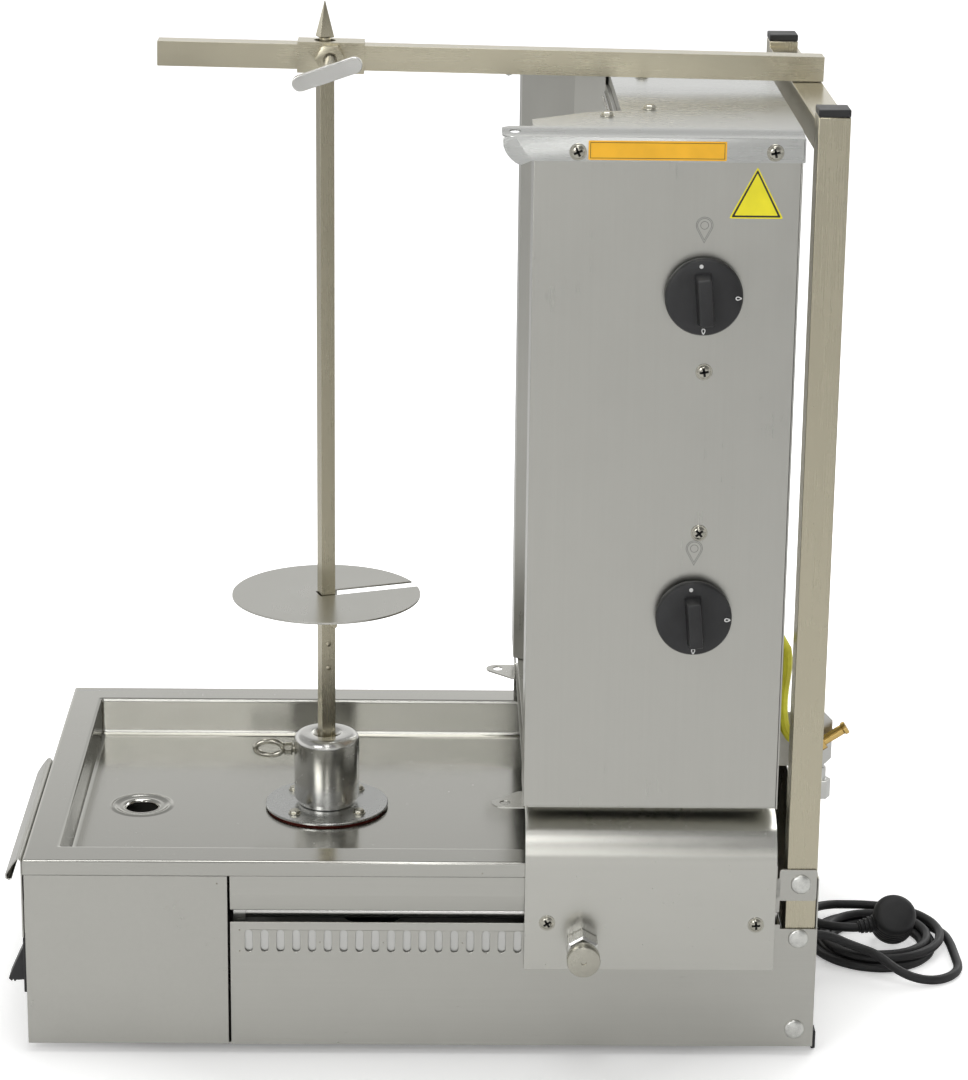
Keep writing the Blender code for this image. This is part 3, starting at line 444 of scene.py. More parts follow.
def put(name, mesh, finish, node=None, body=None, bevel=0.0, segments=2):
    """A piece from a mesh in the shared frame: it stands for a CAD node, or rides on a body beside them."""
    piece = bpy.data.objects.new(name, mesh)
    bpy.context.scene.collection.objects.link(piece)
    mesh.materials.clear()
    mesh.materials.append(MATERIALS[finish])
    mesh.shade_smooth()
    mesh.set_sharp_from_angle(angle=SMOOTH)
    if bevel:
        step = piece.modifiers.new("rounded", "BEVEL")
        step.width = bevel * MM
        step.segments = segments
        step.limit_method = "ANGLE"
        step.angle_limit = SMOOTH
        step.harden_normals = False
    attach(piece, BODY_OF[node] if node else body)
    if node:
        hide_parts(node)
    return piece


def refined(node, finish, bevel=0.3, segments=2):
    """The CAD node's own shape with its edges rounded."""
    return put(f"{node}_finished", finished(merged(node)), finish, node, bevel=bevel, segments=segments)


def arc(centre, radius, start, end, steps):
    angles = [math.radians(start + (end - start) * i / steps) for i in range(steps + 1)]
    return [(centre[0] + radius * math.cos(a), centre[1] + radius * math.sin(a)) for a in angles]


def circle(centre, radius, sides=32):
    return arc(centre, radius, 0, 360 - 360 / sides, sides - 1)


def stadium(u, v):
    """An upright slot with round ends between limits."""
    radius = (u[1] - u[0]) / 2
    middle = (u[0] + u[1]) / 2
    above = arc((middle, v[1] - radius), radius, 0, 180, 8)
    return above + arc((middle, v[0] + radius), radius, 180, 360, 8)


def rectangle(u, v):
    return [(u[0], v[0]), (u[1], v[0]), (u[1], v[1]), (u[0], v[1])]


def filleted(points, radius, steps=4, closed=False):
    """The polyline with each corner turned into a short arc."""
    points = [Vector(p) for p in points]
    result = []
    for i, here in enumerate(points):
        if not closed and i in (0, len(points) - 1):
            result.append(tuple(here))
            continue
        back = points[i - 1] - here
        ahead = points[(i + 1) % len(points)] - here
        reach = min(radius, back.length * 0.45, ahead.length * 0.45)
        first, last = here + back.normalized() * reach, here + ahead.normalized() * reach
        for step in range(steps + 1):
            t = step / steps
            result.append(tuple(first * (1 - t) ** 2 + here * 2 * t * (1 - t) + last * t * t))
    return result


def strip(path, thickness):
    """The closed outline of a sheet whose one face follows the path and whose other face is to its left."""
    inner = []
    last = len(path) - 1
    for i, point in enumerate(path):
        here = Vector(point)
        back = (here - Vector(path[i - 1])).normalized() if i > 0 else None
        ahead = (Vector(path[i + 1]) - here).normalized() if i < last else None
        back = back or ahead
        ahead = ahead or back
        normal = Vector((-back.y - ahead.y, back.x + ahead.x)).normalized()
        inner.append(here + normal * thickness / max(normal.dot(Vector((-back.y, back.x))), 0.2))
    return [tuple(p) for p in path] + [tuple(p) for p in reversed(inner)]


def flat(loops, low, high, plane):
    """A flat outline with holes, extruded between two heights in mm along the plane's normal."""
    curve = bpy.data.curves.new("outline", "CURVE")
    curve.dimensions = "2D"
    curve.fill_mode = "BOTH"
    curve.extrude = (high - low) / 2 * MM
    for loop in loops:
        spline = curve.splines.new("POLY")
        spline.points.add(len(loop) - 1)
        spline.use_cyclic_u = True
        for point, (u, v) in zip(spline.points, loop):
            point.co = (u * MM, v * MM, 0.0, 1.0)
    holder = bpy.data.objects.new("outline", curve)
    mesh = bpy.data.meshes.new_from_object(holder)
    bpy.data.objects.remove(holder)
    bpy.data.curves.remove(curve)
    mesh.transform(PLANES[plane] @ Matrix.Translation((0, 0, (high + low) / 2 * MM)))
    mesh.transform(Matrix.Translation(at(0, 0, 0)))
    bm = bmesh.new()
    bm.from_mesh(mesh)
    bpy.data.meshes.remove(mesh)
    return finished(bm)


def extruded(section, low, high, plane):
    """A sheet section as clean quads along the plane's normal, with the two ends as caps."""
    bm = bmesh.new()
    rings = []
    for level in (low, high):
        rings.append([bm.verts.new(PLANES[plane] @ (Vector((u, v, level)) * MM)) for u, v in section])
    count = len(section)
    for i in range(count):
        bm.faces.new((rings[0][i], rings[0][(i + 1) % count], rings[1][(i + 1) % count], rings[1][i]))
    half = count // 2
    for ring in rings:
        for i in range(half - 1):
            bm.faces.new((ring[i], ring[i + 1], ring[count - 2 - i], ring[count - 1 - i]))
    bmesh.ops.translate(bm, vec=at(0, 0, 0), verts=bm.verts)
    return finished(bm)


def lathe(profile, place, axis="Z", steps=64, offset=0.0):
    """A turned solid from (radius, height) pairs in mm, along an axis from a place."""
    bm = bmesh.new()
    rings = []
    for radius, height in profile:
        if radius < 1e-6:
            rings.append([bm.verts.new((0, 0, height * MM))])
            continue
        rings.append([bm.verts.new((radius * MM * math.cos(offset + 2 * math.pi * i / steps),
                                    radius * MM * math.sin(offset + 2 * math.pi * i / steps), height * MM))
                      for i in range(steps)])
    for first, second in zip(rings, rings[1:]):
        for i in range(steps):
            corners = (first[i % len(first)], first[(i + 1) % len(first)],
                       second[(i + 1) % len(second)], second[i % len(second)])
            corners = list(dict.fromkeys(corners))
            if len(corners) > 2:
                bm.faces.new(corners)
    bmesh.ops.transform(bm, matrix=Matrix.Translation(at(*place)) @ AXES[axis], verts=bm.verts)
    return finished(bm)


def block(x, y, z):
    bm = bmesh.new()
    size = [(high - low) * MM for low, high in (x, y, z)]
    middle = at(*[(high + low) / 2 for low, high in (x, y, z)])
    bmesh.ops.create_cube(bm, size=1.0, matrix=Matrix.Translation(middle) @ Matrix.Diagonal((*size, 1.0)))
    return finished(bm)


def joined(*meshes):
    """One mesh of several separate shells."""
    bm = bmesh.new()
    for mesh in meshes:
        bm.from_mesh(mesh)
        bpy.data.meshes.remove(mesh)
    made = bpy.data.meshes.new("mesh")
    bm.to_mesh(made)
    bm.free()
    return made


def carved(mesh, *cutters):
    """The mesh with the cutters taken away."""
    holder = bpy.data.objects.new("carved", mesh)
    bpy.context.scene.collection.objects.link(holder)
    tools = []
    for cutter in cutters:
        knife = bpy.data.objects.new("knife", cutter)
        bpy.context.scene.collection.objects.link(knife)
        step = holder.modifiers.new("cut", "BOOLEAN")
        step.operation = "DIFFERENCE"
        step.solver = "EXACT"
        step.object = knife
        tools.append(knife)
    made = evaluated(holder)
    for item in (holder, *tools):
        old = item.data
        bpy.data.objects.remove(item)
        bpy.data.meshes.remove(old)
    return made


def round_ring(points, radius):
    """A smooth closed ring of round wire through points in the design frame."""
    curve = bpy.data.curves.new("ring", "CURVE")
    curve.dimensions = "3D"
    curve.bevel_depth = radius * MM
    curve.bevel_resolution = 6
    curve.resolution_u = 8
    spline = curve.splines.new("BEZIER")
    spline.bezier_points.add(len(points) - 1)
    spline.use_cyclic_u = True
    for point, place in zip(spline.bezier_points, points):
        point.co = at(*place)
        point.handle_left_type = point.handle_right_type = "AUTO"
    holder = bpy.data.objects.new("ring", curve)
    bpy.context.scene.collection.objects.link(holder)
    mesh = evaluated(holder)
    bpy.data.objects.remove(holder)
    bpy.data.curves.remove(curve)
    bm = bmesh.new()
    bm.from_mesh(mesh)
    bpy.data.meshes.remove(mesh)
    return finished(bm)


def turned_about(mesh, pivot, angle, axis):
    """The mesh turned about a point of the design frame."""
    centre = at(*pivot)
    mesh.transform(Matrix.Translation(centre) @ Matrix.Rotation(angle, 4, axis) @ Matrix.Translation(-centre))
    return mesh


# ---------------------------------------------------------------- fasteners

def screw_head(name, place, turn):
    """A domed cross-recess head on the carriage that points along +X, on a thin washer."""
    radius, height = 5.5, 2.6
    rim = radius + 1.1
    washer = lathe([(0, 0.5), (rim - 0.3, 0.5), (rim, 0.2), (rim, 0.0), (0, 0.0)], place, "X", 40)
    profile = [(0.0, height), (radius * 0.45, height * 0.95), (radius * 0.78, height * 0.72),
               (radius * 0.94, height * 0.36), (radius * 0.96, 0.3), (0.0, 0.3)]
    x, y, z = place
    long, thin = radius * 0.64, radius * 0.17

    def cross(low, high, margin):
        arms = [block((x + low, x + high), (y - u + margin, y + u - margin), (z - v + margin, z + v - margin))
                for u, v in ((long, thin), (thin, long))]
        for arm in arms:
            turned_about(arm, place, math.radians(turn), "X")
        return arms

    head = carved(lathe(profile, place, "X", 40), *cross(0.8, height + 1, 0.0))
    put(name, joined(washer, head), "plated", body="carriage", bevel=0.12)
    # The near-black cross at the bottom of the recess is painted shade: it stands in for the shadow inside
    # the recess.
    put(f"{name}_recess", joined(*cross(0.6, 0.86, 0.03)), "recess_painted_shade", body="carriage")


def hex_head(name, place, body, washer):
    """An upright hexagon head, 8 mm across its flats, on a washer of a radius."""
    corner, height = 8.0 / math.sqrt(3), 3.6
    base = lathe([(0, 1.0), (washer - 0.3, 1.0), (washer, 0.7), (washer, 0), (0, 0)], place, steps=32)
    head = lathe([(0, height), (corner * 0.80, height), (corner, height - 0.7), (corner, 1.0), (0, 1.0)],
                 place, steps=6, offset=0.3)
    put(name, joined(base, head), "plated", body=body, bevel=0.15)


def coach_bolt(name, place):
    """A wide low domed head on the base's side, pointing along +X."""
    radius = 8.2
    dome = [(radius * math.sin(a), 0.7 + 2.7 * math.cos(a)) for a in (math.pi / 2 * i / 8 for i in range(9))]
    profile = [(0.0, 3.4)] + dome[1:] + [(radius, 0.0), (0.0, 0.0)]
    put(name, lathe(profile, place, "X", 48), "galvanised", body="base")


# ---------------------------------------------------------------- base

SIDE_FACE = 205.0
SHEET = 1.2
INNER_FACE = SIDE_FACE - SHEET
SLOT_START = 181.0
SLOT_PITCH = 12.84
SLOT_Y = [SLOT_START + SLOT_PITCH * i for i in range(32)]
COACH_BOLTS = ((628.0, 152.2), (627.6, 104.6), (627.5, 23.7))


def make_feet():
    for number in (1, 2, 3, 4):
        x, y, z = limits(f"foot_{number}")
        place = ((x[0] + x[1]) / 2, (y[0] + y[1]) / 2, 0.0)
        profile = [(0, z[1]), (9.6, z[1]), (10.0, z[1] - 0.6), (10.9, 1.2), (10.2, 0.2), (7.5, 0.0),
                   (6.8, 0.8), (0, 0.8)]
        put(f"rubber_foot_{number}", lathe(profile, place, steps=40), "black_rubber", f"foot_{number}")


def make_side_panels():
    for name, side in (("near", 1), ("far", -1)):
        x, y, z = limits(f"side_panel_{name}")
        edge = [(y[0], z[0]), (y[1], z[0]), (y[1], 112.9), (612.6, 112.9), (612.6, z[1]), (y[0], z[1])]
        slots = [stadium((middle - 3.2, middle + 3.2), (90.4, 109.8)) for middle in SLOT_Y]
        put(f"slotted_panel_{name}", flat([edge] + slots, *x, "YZ"), "sheet_along", f"side_panel_{name}",
            bevel=0.3)
        behind = (INNER_FACE - 2.6, INNER_FACE - 1.2)
        behind = behind if side > 0 else (-behind[1], -behind[0])
        put(f"slot_backing_{name}", block(behind, (170, 600), (84, 113)), "zinc", body="base",
            bevel=0.2)


def make_upper_rails():
    for name, side in (("near", 1), ("far", -1)):
        y, z = limits(f"upper_rail_{name}")[1:]
        face = SIDE_FACE
        path = filleted([(face - 8.0, z[0]), (face - 2.6, z[0] + 0.4), (face, 140.0)], 1.2)
        path += [(face, 140.6), (face, 156.7)]
        section = [(side * u, v) for u, v in strip(path, SHEET)]
        band = extruded(section, y[0], 611.5, "XZ")
        tab = filleted([(606.0, 143.0), (606.0, 137.7), (641.0, 137.7), (641.0, 164.7), (610.6, 164.7),
                        (610.6, 156.4), (606.0, 156.4)], 2.0, closed=True)
        sheet = (INNER_FACE, face) if side > 0 else (-face, -INNER_FACE)
        put(f"folded_rail_{name}", joined(band, flat([tab], *sheet, "YZ")), "sheet_along",
            f"upper_rail_{name}", bevel=0.25)


def rounded_ring(bm, rect, radius, height):
    """The corners of a rounded rectangle as one loop of points."""
    x0, x1, y0, y1 = rect
    loop = []
    for cx, cy, start in ((x1 - radius, y1 - radius, 0), (x0 + radius, y1 - radius, 90),
                          (x0 + radius, y0 + radius, 180), (x1 - radius, y0 + radius, 270)):
        loop += arc((cx, cy), radius, start, start + 90, 4)
    return [bm.verts.new(at(u, v, height)) for u, v in loop]


def inset(rect, amount):
    return (rect[0] + amount, rect[1] - amount, rect[2] + amount, rect[3] - amount)


def make_tray():
    """Deep-drawn pan: folded rim, filleted recess and an embossed, funnelled drain."""
    x, y, z = limits("drip_tray")
    rim = (x[0], x[1], y[0], y[1])
    recess = (-175.0, 175.0, 26.8, 585.0)
    floor, top = 136.6, z[1]
    drain, ring_radius = (2.0, 78.0), 26.8
    rows = [(rim, 0.0, 157.0, 1.0), (rim, 0.0, 158.2, 1.0), (rim, 0.0, top - 2.4, 1.0),
            (rim, 0.0, top - 1.6, 1.0), (rim, 0.5, top - 0.5, 1.2), (rim, 1.6, top, 1.6),
            (rim, 2.6, top, 1.6), (recess, -3.4, top, 3.0), (recess, -2.2, top, 3.0),
            (recess, -0.7, top - 0.6, 2.4), (recess, 0.0, top - 2.2, 2.0), (recess, 0.0, top - 3.4, 2.0),
            (recess, 0.0, floor + 4.2, 2.0), (recess, 0.0, floor + 3.0, 2.0), (recess, 0.9, floor + 0.9, 2.2),
            (recess, 3.0, floor, 3.0), (recess, 4.4, floor, 3.0)]
    bm = bmesh.new()
    loops = [rounded_ring(bm, inset(rect, amount), radius, height) for rect, amount, height, radius in rows]
    bridged(bm, loops)
    emboss = [(ring_radius + 1.5, 0.0), (ring_radius, 0.0), (25.6, 0.5), (24.2, 0.7), (22.6, 0.3),
              (21.4, -0.3), (18.6, -0.6), (17.0, -0.3), (15.6, -0.5), (14.4, -1.1), (13.4, -2.2),
              (13.2, -2.8)]
    rings = [[bm.verts.new(at(u, v, floor + rise)) for u, v in circle(drain, radius, 64)]
             for radius, rise in emboss]
    bridged(bm, rings)
    edges = []
    for loop in (loops[-1], rings[0]):
        for i in range(len(loop)):
            edges.append(bm.edges.get((loop[i], loop[i - 1])) or bm.edges.new((loop[i], loop[i - 1])))
    bmesh.ops.triangle_fill(bm, use_beauty=True, use_dissolve=True, edges=edges)
    piece = put("drip_pan", finished(bm), "tray_sheet", "drip_tray")
    sheet = piece.modifiers.new("sheet", "SOLIDIFY")
    sheet.thickness = 1.0 * MM
    sheet.offset = -1.0


def make_small_marks():
    """Rivet heads on the skirt and side, marks between slots, and a rubber bumper at each rear corner."""
    face = SIDE_FACE - 0.1
    skirt = SIDE_FACE + 0.9
    spots = [(face, 173.5, 109.5, 0.9), (face, 173.5, 91.0, 0.9), (skirt, 370.0, 160.5, 0.8),
             (SIDE_FACE, 155.6, 150.0, 0.8)]
    spots += [(face, SLOT_START + SLOT_PITCH * place, 99.0, 0.7) for place in (4.5, 8.5, 13.5)]
    heads = []
    for x, y, z, radius in spots:
        profile = [(0, 0.35), (radius * 0.6, 0.3), (radius, 0.0), (radius, -0.1), (0, -0.1)]
        heads.append(lathe(profile, (x, y, z), "X", 16))
    put("small_rivets", joined(*heads), "plated", body="base")
    for side, name in ((1, "near"), (-1, "far")):
        x = sorted((side * 181.0, side * 195.0))
        put(f"rear_bumper_{name}", block(x, (643.0, 646.8), (1.0, 17.0)), "black_rubber", body="base",
            bevel=1.2, segments=3)


def make_base():
    make_feet()
    make_small_marks()
    make_side_panels()
    make_upper_rails()
    make_tray()
    refined("bottom_pan", "sheet_along")
    refined("front_cover", "sheet_across", 0.5)
    refined("rear_panel", "sheet_across")
    for name in ("near", "far"):
        refined(f"guide_rod_{name}", "turned_steel")
    for number, (y, z) in enumerate(COACH_BOLTS, 1):
        coach_bolt(f"coach_bolt_{number}", (SIDE_FACE, y, z))
    backs = joined(*[lathe([(0, 3.4), (5.8, 3.1), (8.2, 0.7), (8.2, 0), (0, 0)], (-SIDE_FACE, y, z), "-X", 48)
                     for y, z in COACH_BOLTS])
    put("coach_bolts_far", backs, "galvanised", body="base")


# ---------------------------------------------------------------- posts, arm and clamp

def make_frame():
    for node, finish, bevel in (
            ("post_near", "tube_upright", 1.2), ("post_cap_near", "black_plastic", 1.0),
            ("post_far", "tube_upright", 1.2), ("post_cap_far", "black_plastic", 1.0),
            ("crossbar", "tube_across", 1.2), ("support_arm", "tube_along", 1.2),
            ("arm_sleeve", "tube_along", 0.8), ("clamp_screw", "turned_steel", 1.0)):
        refined(node, finish, bevel, 3)


# ---------------------------------------------------------------- spit and its drive

SPIT_Y = 238.0
SPIT_TURN = math.radians(20)


def make_drive():
    across, _, (low, high) = limits("hub_flange")
    radius = (across[1] - across[0]) / 2
    place = (0.0, SPIT_Y, 0.0)
    flange = [(10, high), (radius - 0.5, high), (radius, high - 0.5), (radius, low + 0.4),
              (radius - 0.4, low), (10, low)]
    put("drive_flange", lathe(flange, place, steps=96), "disc_steel", "hub_flange")
    low, high = limits("flange_gasket")[2]
    edge = radius - 2.0
    seal = [(10, high), (edge, high), (edge + 0.4, (low + high) / 2), (edge, low), (10, low)]
    put("seal_ring", lathe(seal, place, steps=96), "red_gasket", "flange_gasket")
    for number in range(4):
        angle = math.radians(47 + 90 * number)
        spot = (39.0 * math.cos(angle), SPIT_Y + 39.0 * math.sin(angle), limits("hub_flange")[2][1])
        hex_head(f"flange_bolt_{number + 1}", spot, "base", washer=5.6)
    refined("gear_motor", "gear_case", 2.0, 3)
    refined("drive_shaft", "turned_steel")
    make_hub()
    make_wing_bolt()


def make_hub():
    bottom, top = limits("spit_hub")[2]
    socket = [(0, 155.7), (9.2, 155.7), (9.2, top - 5.0), (10.2, top - 3.6), (12.4, top - 0.7),
              (13.4, top - 0.1), (14.2, top)]
    shoulder = arc((21.0, top - 7.0), 7.0, 90, 0, 10)
    foot = [(28, bottom + 6.0), (27.6, bottom + 5.2), (25.0, bottom + 4.6), (24.4, bottom + 3.8),
            (24.4, bottom + 0.5), (23.9, bottom), (8.4, bottom), (8.4, bottom + 11), (0, bottom + 11)]
    put("hub", lathe(socket + shoulder + foot, (0.0, SPIT_Y, 0.0), steps=96), "turned_steel", "spit_hub")


def make_wing_bolt():
    """Cast oval grip on a short threaded shank."""
    height = 189.3
    outer = SPIT_Y - 36.0
    middle = outer - 13.5
    loop = [(0.0, middle + 11.8 * math.cos(a), height + 6.4 * math.sin(a))
            for a in (2 * math.pi * i / 24 for i in range(24))]
    grip = round_ring(loop, 2.6)
    turns = [(4.0 - 0.35 * (i % 2), 2.0 + 0.6 * i) for i in range(28)]
    shank = lathe([(0, 1.5), (4.0, 1.5)] + turns + [(0, turns[-1][1])], (0.0, outer, height), "Y", 32)
    collar = lathe([(0, 6.4), (5.4, 6.4), (6.3, 5.4), (6.3, 0.6), (4.4, -1.2), (0, -1.2)],
                   (0.0, outer, height), "Y", 40)
    put("wing_grip", joined(grip, shank, collar), "plated", "wing_bolt", bevel=0.2)


def make_spit():
    """Square bar with eased edges, a turned neck, a pyramid point, a cross pin and two plug welds."""
    low, high = limits("spit")[2]
    half, neck, base = 6.0, 774.0, 803.5
    root = math.sqrt(2)
    bar = lathe([(0, neck), (half * root - 1.0, neck), (half * root, neck - 1.0), (half * root, low + 1.0),
                 (half * root - 1.0, low), (0, low)], (0.0, SPIT_Y, 0.0), "Z", 4, math.pi / 4)
    stem = lathe([(0, base), (4.6, base), (4.6, neck), (0, neck)], (0.0, SPIT_Y, 0.0), "Z", 48)
    point = lathe([(0, high), (0.5, high - 0.4), (half * root, base + 0.8), (half * root - 0.8, base),
                   (0, base)], (0.0, SPIT_Y, 0.0), "Z", 4, math.pi / 4)
    welds = [lathe([(0, 0.5), (1.6, 0.45), (2.3, 0.1), (2.3, -0.5), (0, -0.5)], (half, SPIT_Y, z), "X", 24)
             for z in (286.4, 264.7)]
    groove = block((half - 0.2, half + 0.12), (SPIT_Y - 0.35, SPIT_Y + 0.35), (267.6, 283.4))
    pin = lathe([(0, 44), (2.2, 44), (2.5, 43.6), (2.5, 0.4), (2.2, 0), (0, 0)],
                (-22.0, SPIT_Y, 308.0), "X", 28)
    mesh = joined(bar, stem, point, *welds, groove, pin)
    turned_about(mesh, (0, SPIT_Y, 0), SPIT_TURN, "Z")
    put("skewer", mesh, "tube_upright", "spit", bevel=0.5, segments=3)


def make_disc():
    """Thin slotted plate on a bent saddle."""
    half, radius = 7.25, 80.0
    opening = math.degrees(math.asin(half / radius))
    low, high = 329.0, 330.5
    rim = arc((0, 0), radius, 90 + opening, 450 - opening, 120)
    plate = flat([rim + [(half, -half), (-half, -half)]], low, high, "XY")
    wall = half + 3.0
    saddle = [(half, 12), (half, -half), (-half, -half), (-half, 12), (-wall, 12), (-wall, -wall),
              (wall, -wall), (wall, 12)]
    collar = flat([saddle], limits("meat_disc")[2][0], low - 0.05, "XY")
    mesh = joined(plate, collar)
    shift = Matrix.Translation(at(0, SPIT_Y, 0)) @ Matrix.Rotation(SPIT_TURN, 4, "Z")
    mesh.transform(shift @ Matrix.Translation(-at(0, 0, 0)))
    put("disc", mesh, "sheet_across", "meat_disc", bevel=0.35)


# ---------------------------------------------------------------- carriage

FACE = 209.0
EAR_HOLE = 164.5
CROWN = 2.6
CROWN_WIDTH = 28.8
KNOB_Y = 533.0
KNOB_TURN = math.radians(5)
SYMBOLS = {"upper": 680.5, "lower": 423.5}
KNOBS = {"upper": 641.0, "lower": 383.2}


def make_saddle():
    """The lower cover with its rolled shoulders, and the ears that the side shields pivot on."""
    y, z = limits("carriage_saddle")[1:]
    roll, top = 36.0, 206.0
    shoulder = arc((FACE - roll, top - roll), roll, 0, 90, 32)
    half_path = [(FACE, z[0]), (FACE, top - roll - 3)] + shoulder + [(FACE - roll - 3, top)]
    path = half_path + [(-u, v) for u, v in reversed(half_path)]
    sheet = extruded(strip(path, SHEET), 404.5, y[1], "XZ")
    outer, inner = 174.5, 139.0
    half_ear = [(outer, 406.0)] + arc((EAR_HOLE, 388.0), 10.0, 0, -140, 20) + [(inner, 400.0), (inner, 406.0)]
    ears = []
    for way in (1, -1):
        outline = [(way * u, v) for u, v in half_ear]
        hole = [(way * EAR_HOLE + 5.2 * math.cos(a), 388.5 + 4.4 * math.sin(a))
                for a in (2 * math.pi * i / 32 for i in range(32))]
        ears.append(flat([outline, hole], 204.4, 205.6, "XY"))
        reach = sorted((way * outer, way * inner))
        ears.append(flat([filleted(rectangle(reach, (205.0, 219.6)), 2.5, 4, True)], 403.2, 404.4, "XZ"))
    put("lower_cover", joined(sheet, *ears), "roll_sheet", "carriage_saddle", bevel=0.25)


def make_hood():
    """The CAD hood with its roof gently crowned: the sheet falls away towards the folded side edges."""
    bm = merged("hood")
    edge, cuts = 208.5, 13
    for side in (-1, 1):
        for step in range(cuts):
            cut_at = at(side * (edge - CROWN_WIDTH * step / (cuts - 1)), 0, 0)
            geometry = list(bm.verts) + list(bm.edges) + list(bm.faces)
            bmesh.ops.bisect_plane(bm, geom=geometry, plane_co=cut_at, plane_no=(1, 0, 0), dist=0.000001)
    for vert in bm.verts:
        x = abs(vert.co.x - MIDDLE_X) / MM
        if vert.co.z > 760.0 * MM and x < edge + 0.1:
            vert.co.z += CROWN * MM * eased(edge - x, 0.0, CROWN_WIDTH)
    bmesh.ops.triangulate(bm, faces=[face for face in bm.faces if len(face.verts) > 4])
    # The hood's brighter finish is painted light on its roof.
    put("crowned_hood", finished(bm), "hood_sheet_painted_light", "hood", bevel=0.35)


def make_knob(name, height):
    """Round skirt with a tapered grip bar, and white setting marks."""
    back = 214.0
    place = (back, KNOB_Y, height)
    skirt = [(0, 9.2), (20, 8.9), (26.5, 8.3), (28.8, 7.4), (29.8, 5.8), (30, 4.0), (29.7, 0.4), (29.2, 0),
             (4.4, 0), (4.4, 5.5), (0, 5.5)]
    body = lathe(skirt, place, "X", 96)
    bm = bmesh.new()
    rows = []
    for out, wide, up, down in ((6.0, 6.8, 19.5, 21.5), (14.0, 6.1, 18.6, 20.6), (24.0, 5.2, 16.8, 19.2)):
        corners = ((-wide, -down), (wide, -down), (wide, up), (-wide, up))
        rows.append([bm.verts.new(at(back + out, KNOB_Y + u, height + v)) for u, v in corners])
    bridged(bm, rows)
    bm.faces.new(rows[0])
    bm.faces.new(rows[-1])
    bmesh.ops.bevel(bm, geom=list(bm.edges), offset=1.5 * MM, segments=4, profile=0.5, affect="EDGES")
    grip = turned_about(finished(bm), place, KNOB_TURN, "X")
    put(f"knob_{name}", joined(body, grip), "black_plastic", f"gas_knob_{name}")
    dot = lathe([(0, 0.25), (1.5, 0.2), (1.6, -0.6), (0, -0.6)], (back + 8.7, KNOB_Y, height + 24.6), "X", 24)
    marks = [turned_about(dot, place, KNOB_TURN + math.radians(2), "X")]
    for angle in (0, -90):
        ring = flat([flame_outline(25.6, 1.0), flame_outline(25.6, 0.55)], back + 8.1, back + 8.9, "YZ")
        ring.transform(Matrix.Translation(at(0, KNOB_Y, height) - at(0, 0, 0)))
        marks.append(turned_about(ring, place, math.radians(angle), "X"))
    put(f"knob_marks_{name}", joined(*marks), "white_ink", body=f"knob_{name}")


def flame_outline(reach, scale):
    """A small drop whose point faces away from the knob's middle."""
    loop = []
    for i in range(24):
        angle = 2 * math.pi * i / 24
        u, v = math.cos(angle), math.sin(angle)
        long = 3.0 if u > 0 else 2.0
        loop.append((reach + long * scale * u, 1.6 * scale * v * (1.0 - 0.45 * max(0.0, u))))
    return loop


def drop_outline(scale):
    """A drop with its point down, as tall as 21 mm at scale 1."""
    round_part = arc((0.0, 14.0), 6.6 * scale, -28, 208, 24)
    return round_part + [(0.0, 14.0 - 14.0 * scale)]


def make_burner_symbol(name):
    low = SYMBOLS[name]
    pairs = [(drop_outline(1.0), drop_outline(0.94)), (drop_outline(0.84), drop_outline(0.78)),
             (circle((0.0, 14.0), 3.2), circle((0.0, 14.0), 2.8))]
    rings = []
    for pair in pairs:
        loops = [[(KNOB_Y - 0.5 + u, low + v) for u, v in loop] for loop in pair]
        rings.append(flat(loops, FACE + 0.02, FACE + 0.09, "YZ"))
    put(f"burner_symbol_{name}", joined(*rings), "grey_ink", body="carriage")


def film(name, loops, finish, low, high):
    """A thin printed layer on the carriage's near side, between two depths from the centre plane."""
    put(name, flat(loops, low, high, "YZ"), finish, body="carriage")


def triangle(margin):
    """The yellow film's outline, moved inwards by a margin."""
    middle, low, half, tall = 571.4, 700.0, 20.6, 39.6
    side = half - margin * math.sqrt(3)
    return [(middle - side, low + margin), (middle + side, low + margin), (middle, low + tall - 2 * margin)]


def make_films():
    """Two blank self-adhesive films: an orange strip on the hood's flange and a bordered yellow triangle."""
    flange = limits("hood")[0][1]
    strip_outline = filleted(rectangle((443.0, 547.5), (744.2, 759.0)), 0.8, 3, True)
    film("orange_strip", [strip_outline], "orange_film", flange + 0.02, flange + 0.14)
    border = [rectangle((444.4, 546.1), (745.5, 757.7)), rectangle((444.8, 545.7), (745.9, 757.3))]
    film("strip_border", border, "black_ink", flange + 0.10, flange + 0.18)
    film("yellow_triangle", [filleted(triangle(0.0), 1.5, 3, True)], "yellow_film", FACE + 0.02, FACE + 0.14)
    border = [filleted(triangle(1.0), 1.0, 3, True), filleted(triangle(2.4), 0.8, 3, True)]
    film("triangle_border", border, "black_ink", FACE + 0.10, FACE + 0.18)


def wire(span):
    """The profile of a guard wire that ends 4 mm inside a span."""
    low, high = span[0] + 4, span[1] - 4
    return [(0, high), (0.8, high), (0.8, low), (0, low)]


def spread(span, count):
    """Places at even steps between 9 mm inside each end of a span."""
    low, high = span[0] + 9, span[1] - 9
    return [low + (high - low) * i / (count - 1) for i in range(count)]


def make_burner(name):
    """Pressed frame, ceramic plaque and a wire guard in front of it."""
    x, y, z = limits(f"burner_{name}")
    refined(f"burner_{name}", "sheet_across", 0.6)
    inner = 7.6
    plaque = block((x[0] + inner, x[1] - inner), (y[0] + 3.2, y[0] + 4.9), (z[0] + inner, z[1] - inner))
    put(f"plaque_{name}", plaque, "ceramic", body="carriage", bevel=0.3)
    front = y[0] - 1.2
    wires = [lathe(wire(z), (u, front, 0), "Z", 10) for u in spread(x, 15)]
    wires += [lathe(wire(x), (0, front - 1.5, v), "X", 10) for v in spread(z, 17)]
    put(f"wire_guard_{name}", joined(*wires), "turned_steel", body="carriage")


